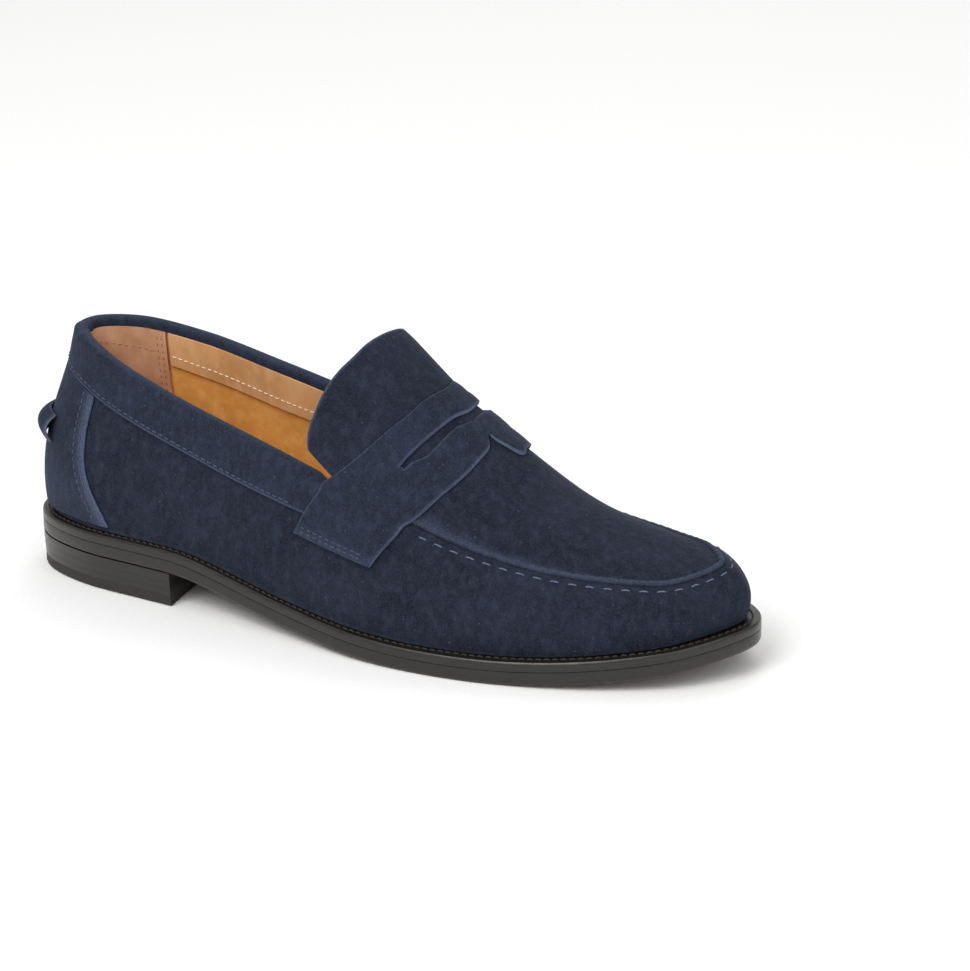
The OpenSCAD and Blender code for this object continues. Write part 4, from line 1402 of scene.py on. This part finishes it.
@dataclass
class Inside:
    """Linings, sock, heel pad and the seams that show through the opening."""

    lining: tuple[float, float] = (2.8, 3.6)
    facing: tuple[float, float] = (4.2, 5.0)
    facing_low: float = 0.03
    fine_seam: Gauge = Gauge(2.6, 1.8, 0.19, 0.16)
    grip_seam: Gauge = Gauge(2.8, 1.8, 0.19, 0.16)

    @staticmethod
    def wall_layer(name: str, span: tuple[float, float], low: Any, high: Any, depth: tuple[float, float],
                   finish: Palette, rub_foot: float = 0.0, cells: tuple[int, int] = (160, 26)) -> Layer:
        """Layer on the inside of the wall between two places and two heights.

        Args:
            name: Name of the piece.
            span: First and last place t.
            low: Height v of the lower edge, one value or a function of the place.
            high: Height v of the upper edge, likewise.
            depth: Depths of its faces, the one next to the wall first.
            finish: Its leather.
            rub_foot: Lightness of the lower edge.
            cells: Grid cells along and up.

        Returns:
            The layer, not yet built.
        """
        t = np.linspace(*span, cells[0] + 1)
        f = np.linspace(0, 1, cells[1] + 1)[None]
        foot, head = (np.broadcast_to(edge(t) if callable(edge) else edge, t.shape)[:, None] for edge in (low, high))
        v = mix(foot, head, f)
        t = np.repeat(t[:, None], v.shape[1], 1)
        ease = 0.25 * np.abs(0.3 * np.sin(t * 4.1 + 7 * v) * np.sin(np.pi * f))
        rub_and_highlight = np.where(f < 1.5 / cells[1], rub_foot, 0.0) * np.ones_like(v)
        return Layer(name, LAST.wall(t, v, depth[0]), LAST.wall(t, v, depth[1] - ease), finish, rub_and_highlight=rub_and_highlight,
                     rounding_mm=0.25)

    @staticmethod
    def floor(name: str, inset: float, low: float, high: float, end: float, crown: float = 0.0) -> Layer:
        """Flat or cushioned layer over the insole.

        Args:
            name: Name of the piece.
            inset: How far its edge lies inside the feather line.
            low: Height of its underside over the welt's top.
            high: Height of its top over the welt's top.
            end: Place t at which it stops in front.
            crown: Extra height in the middle.

        Returns:
            The layer, not yet built.
        """
        t = np.linspace(0.04, end, 90)
        f = np.linspace(0, 1, 25)[None]
        near, far = (LAST.outline(k, LAST.rows(k)[:, 2] + inset)[:, None] for k in (t, 22 - t))
        plan = mix(near, far, f[..., None])
        ground = LAST.ground(plan[..., 0]) + LAST.seat
        along = np.clip(np.minimum(t - t[0], t[-1] - t) / 0.5, 0, 1)[:, None]
        puff = crown * (1 - (2 * f - 1) ** 4) * np.sqrt(along)
        top, under = (np.concatenate([plan, z[..., None]], -1) for z in (ground + high + puff, ground + low))
        return Layer(name, top, under, Palette.SOCK_CALF, rounding_mm=0.4)

    def build(self) -> None:
        """Build and place everything seen through the opening."""
        settle(self.wall_layer("quarter_lining_split", (-5.25, 5.25), 0.03, self.under_roll, self.lining,
                               Palette.OCHRE_SPLIT).build(), "quarter_lining")
        settle(self.wall_layer("vamp_lining_calf", (5.5, 16.5), 0.03, lambda t: LAST.share_under(t, 2.2),
                               self.lining, Palette.TAN_CALF).build(), "vamp_lining")
        settle(self.wall_layer("heel_grip_calf", (-2.35, 2.35), 0.06, self.under_roll, self.facing,
                               Palette.PINK_CALF, 0.2, (80, 30)).build(), "heel_grip")
        for node, span in (("facing_lateral", (2.39, 5.25)), ("facing_medial", (-5.25, -2.39))):
            settle(self.wall_layer(f"{node}_calf", span, lambda t: LAST.band_foot(t) + self.facing_low,
                                   self.under_roll, self.facing, Palette.TAN_CALF, 0.3, (90, 12)).build(),
                   node)
        faces = [Apron.skin(depth, (60, 31), 4.6, 0.15, 10.2)[0] for depth in (3.05, 3.6)]
        settle(Layer("apron_lining_calf", *faces, Palette.TAN_CALF, rounding_mm=0.2).build(),
               "apron_lining")
        settle(self.floor("sock_lining_calf", 6.0, 2.35, 3.4, 10.96).build(), "sock_lining")
        pad = self.floor("heel_cushion", 10.0, 3.5, 4.6, 3.3, crown=0.7).build()
        settle(pad, "heel_pad")
        foam = self.wall_layer("collar_foam", (-5.0, 5.0), LAST.band_foot, self.under_roll, (1.5, 2.6),
                               Palette.FOAM, cells=(120, 8)).build()
        settle(foam, "collar_padding")
        self.stitches()

    @staticmethod
    def under_roll(t: Array) -> Array:
        """Height at which the linings end under the topline roll."""
        return LAST.share_under(t, 3.3)

    def sewing_height(self, t: Array) -> Array:
        """Height of the seam 5 mm over the facing's lower edge."""
        r = LAST.rows(t)
        return LAST.band_foot(t) + self.facing_low + 5 / (r[..., 4] - LAST.ground(r[..., 0]) - LAST.seat)

    def stitches(self) -> None:
        """Sew the facings, and the heel grip down both ends and along the top."""
        face = self.facing[1]
        rows = []
        for side in (-1, 1):
            t = side * np.linspace(2.42, 5.15, 400)
            rows.append(seam(LAST.wall, t, self.sewing_height(t), face, Palette.CREAM_THREAD, self.fine_seam, 1))
        settle(join_rows(rows).build("facing_cream_stitches"), "facing_stitches")
        v = np.linspace(0.12, 0.92, 200)
        rows = [seam(LAST.wall, np.full_like(v, side * back), v, face, Palette.BROWN_THREAD, self.grip_seam, 1)
                for side in (-1, 1) for back in (2.28, 2.2)]
        t = np.linspace(-2.15, 2.15, 200)
        rows.append(seam(LAST.wall, t, self.sewing_height(t), face, Palette.BROWN_THREAD, self.fine_seam, 1))
        settle(join_rows(rows).build("heel_grip_double_stitches"), "heel_grip_stitches")


@dataclass
class Core:
    """Hidden inner parts kept as packed, dressed in their own stock."""

    FINISHES: ClassVar[dict[str, Palette]] = {
        "heel_nails": Palette.BRASS, "cork_filler": Palette.CORK, "shank": Palette.STEEL,
        "insole": Palette.BOARD, "heel_counter": Palette.STIFFENER, "toe_puff": Palette.STIFFENER}

    def build(self) -> None:
        """Give each kept part its finish."""
        for node, finish in self.FINISHES.items():
            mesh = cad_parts[node].data
            mesh.materials.clear()
            mesh.materials.append(finish.material())
            LOG.info("%s: kept, finished in %s", node, finish.value.name)


# ---------------------------------------------------------------- studio


@dataclass
class Studio:
    """White table and curved backdrop under soft boxes, with the camera."""

    azimuth: float = 27.39
    elevation: float = 18.88
    eye: tuple[float, float, float] = (0.76995, -1.18720, 0.51397)
    lens_mm: float = 141.58
    sky: float = 0.52
    aim: tuple[float, float, float] = (0.11, 0.0, 0.04)

    def sweep(self) -> None:
        """Lay the white paper: a table that curves up far behind."""
        bend = [(-6.0, 0.0)] + [(4.0 + 2.0 * math.sin(a), 2.0 - 2.0 * math.cos(a))
                                for a in np.linspace(0, np.pi / 2, 24)] + [(6.0, 6.0)]
        mesh = bpy.data.meshes.new("paper_sweep")
        mesh.from_pydata([(x, y, z) for y, z in bend for x in (-8.0, 8.0)], [],
                         [(2 * i, 2 * i + 1, 2 * i + 3, 2 * i + 2) for i in range(len(bend) - 1)])
        mesh.materials.append(Palette.PAPER.material())
        sweep = bpy.data.objects.new("paper_sweep", mesh)
        bpy.context.scene.collection.objects.link(sweep)
        sweep.rotation_euler = (0, 0, math.radians(self.azimuth))
        sweep.location = (0.1, 0, -0.0002)

    def lamp(self, name: str, at: tuple[float, float, float], size: float, power: float) -> None:
        """Hang one square soft box aimed at the shoe.

        Args:
            name: Name of the lamp.
            at: Its place in metres.
            size: Width of its face in metres.
            power: Its power in watts.
        """
        light = bpy.data.lights.new(name, "AREA")
        light.shape = "SQUARE"
        light.size = size
        light.energy = power
        box = bpy.data.objects.new(name, light)
        box.location = at
        box.rotation_euler = (Vector(self.aim) - Vector(at)).to_track_quat("-Z", "Y").to_euler()
        bpy.context.scene.collection.objects.link(box)

    def build(self) -> None:
        """Set floor, sky, lights, camera and colour view."""
        scene = bpy.context.scene
        self.sweep()
        scene.world = bpy.data.worlds.new("studio_sky")
        scene.world.use_nodes = True
        sky = scene.world.node_tree.nodes["Background"]
        sky.inputs["Color"].default_value = (1, 1, 1, 1)
        sky.inputs["Strength"].default_value = self.sky
        self.lamp("key_box", (0.0, -1.45, 1.45), 1.2, 28)
        self.lamp("fill_box", (1.5, -0.6, 1.0), 1.4, 7)
        self.lamp("back_box", (-0.2, 1.3, 1.7), 1.4, 10)
        camera = bpy.data.objects.new("camera", bpy.data.cameras.new("camera"))
        a, e = math.radians(self.azimuth), math.radians(self.elevation)
        back = Vector((math.sin(a) * math.cos(e), -math.cos(a) * math.cos(e), math.sin(e)))
        camera.location = self.eye
        camera.rotation_euler = (-back).to_track_quat("-Z", "Y").to_euler()
        camera.data.lens = self.lens_mm
        camera.data.sensor_width = 36.0
        camera.data.sensor_fit = "HORIZONTAL"
        camera.data.clip_end = 50
        scene.collection.objects.link(camera)
        scene.camera = camera
        scene.view_settings.view_transform = "Standard"


def main() -> None:
    """Build the shoe piece by piece, then the studio."""
    logging.basicConfig(level=logging.INFO, format="%(name)s: %(message)s")
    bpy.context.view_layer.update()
    for part in (Sole(), Upper(), Apron(), Strap(), Tongue(), Inside(), Core(), Studio()):
        LOG.info("building %s", type(part).__name__)
        part.build()


if __name__ == "__main__":
    main()
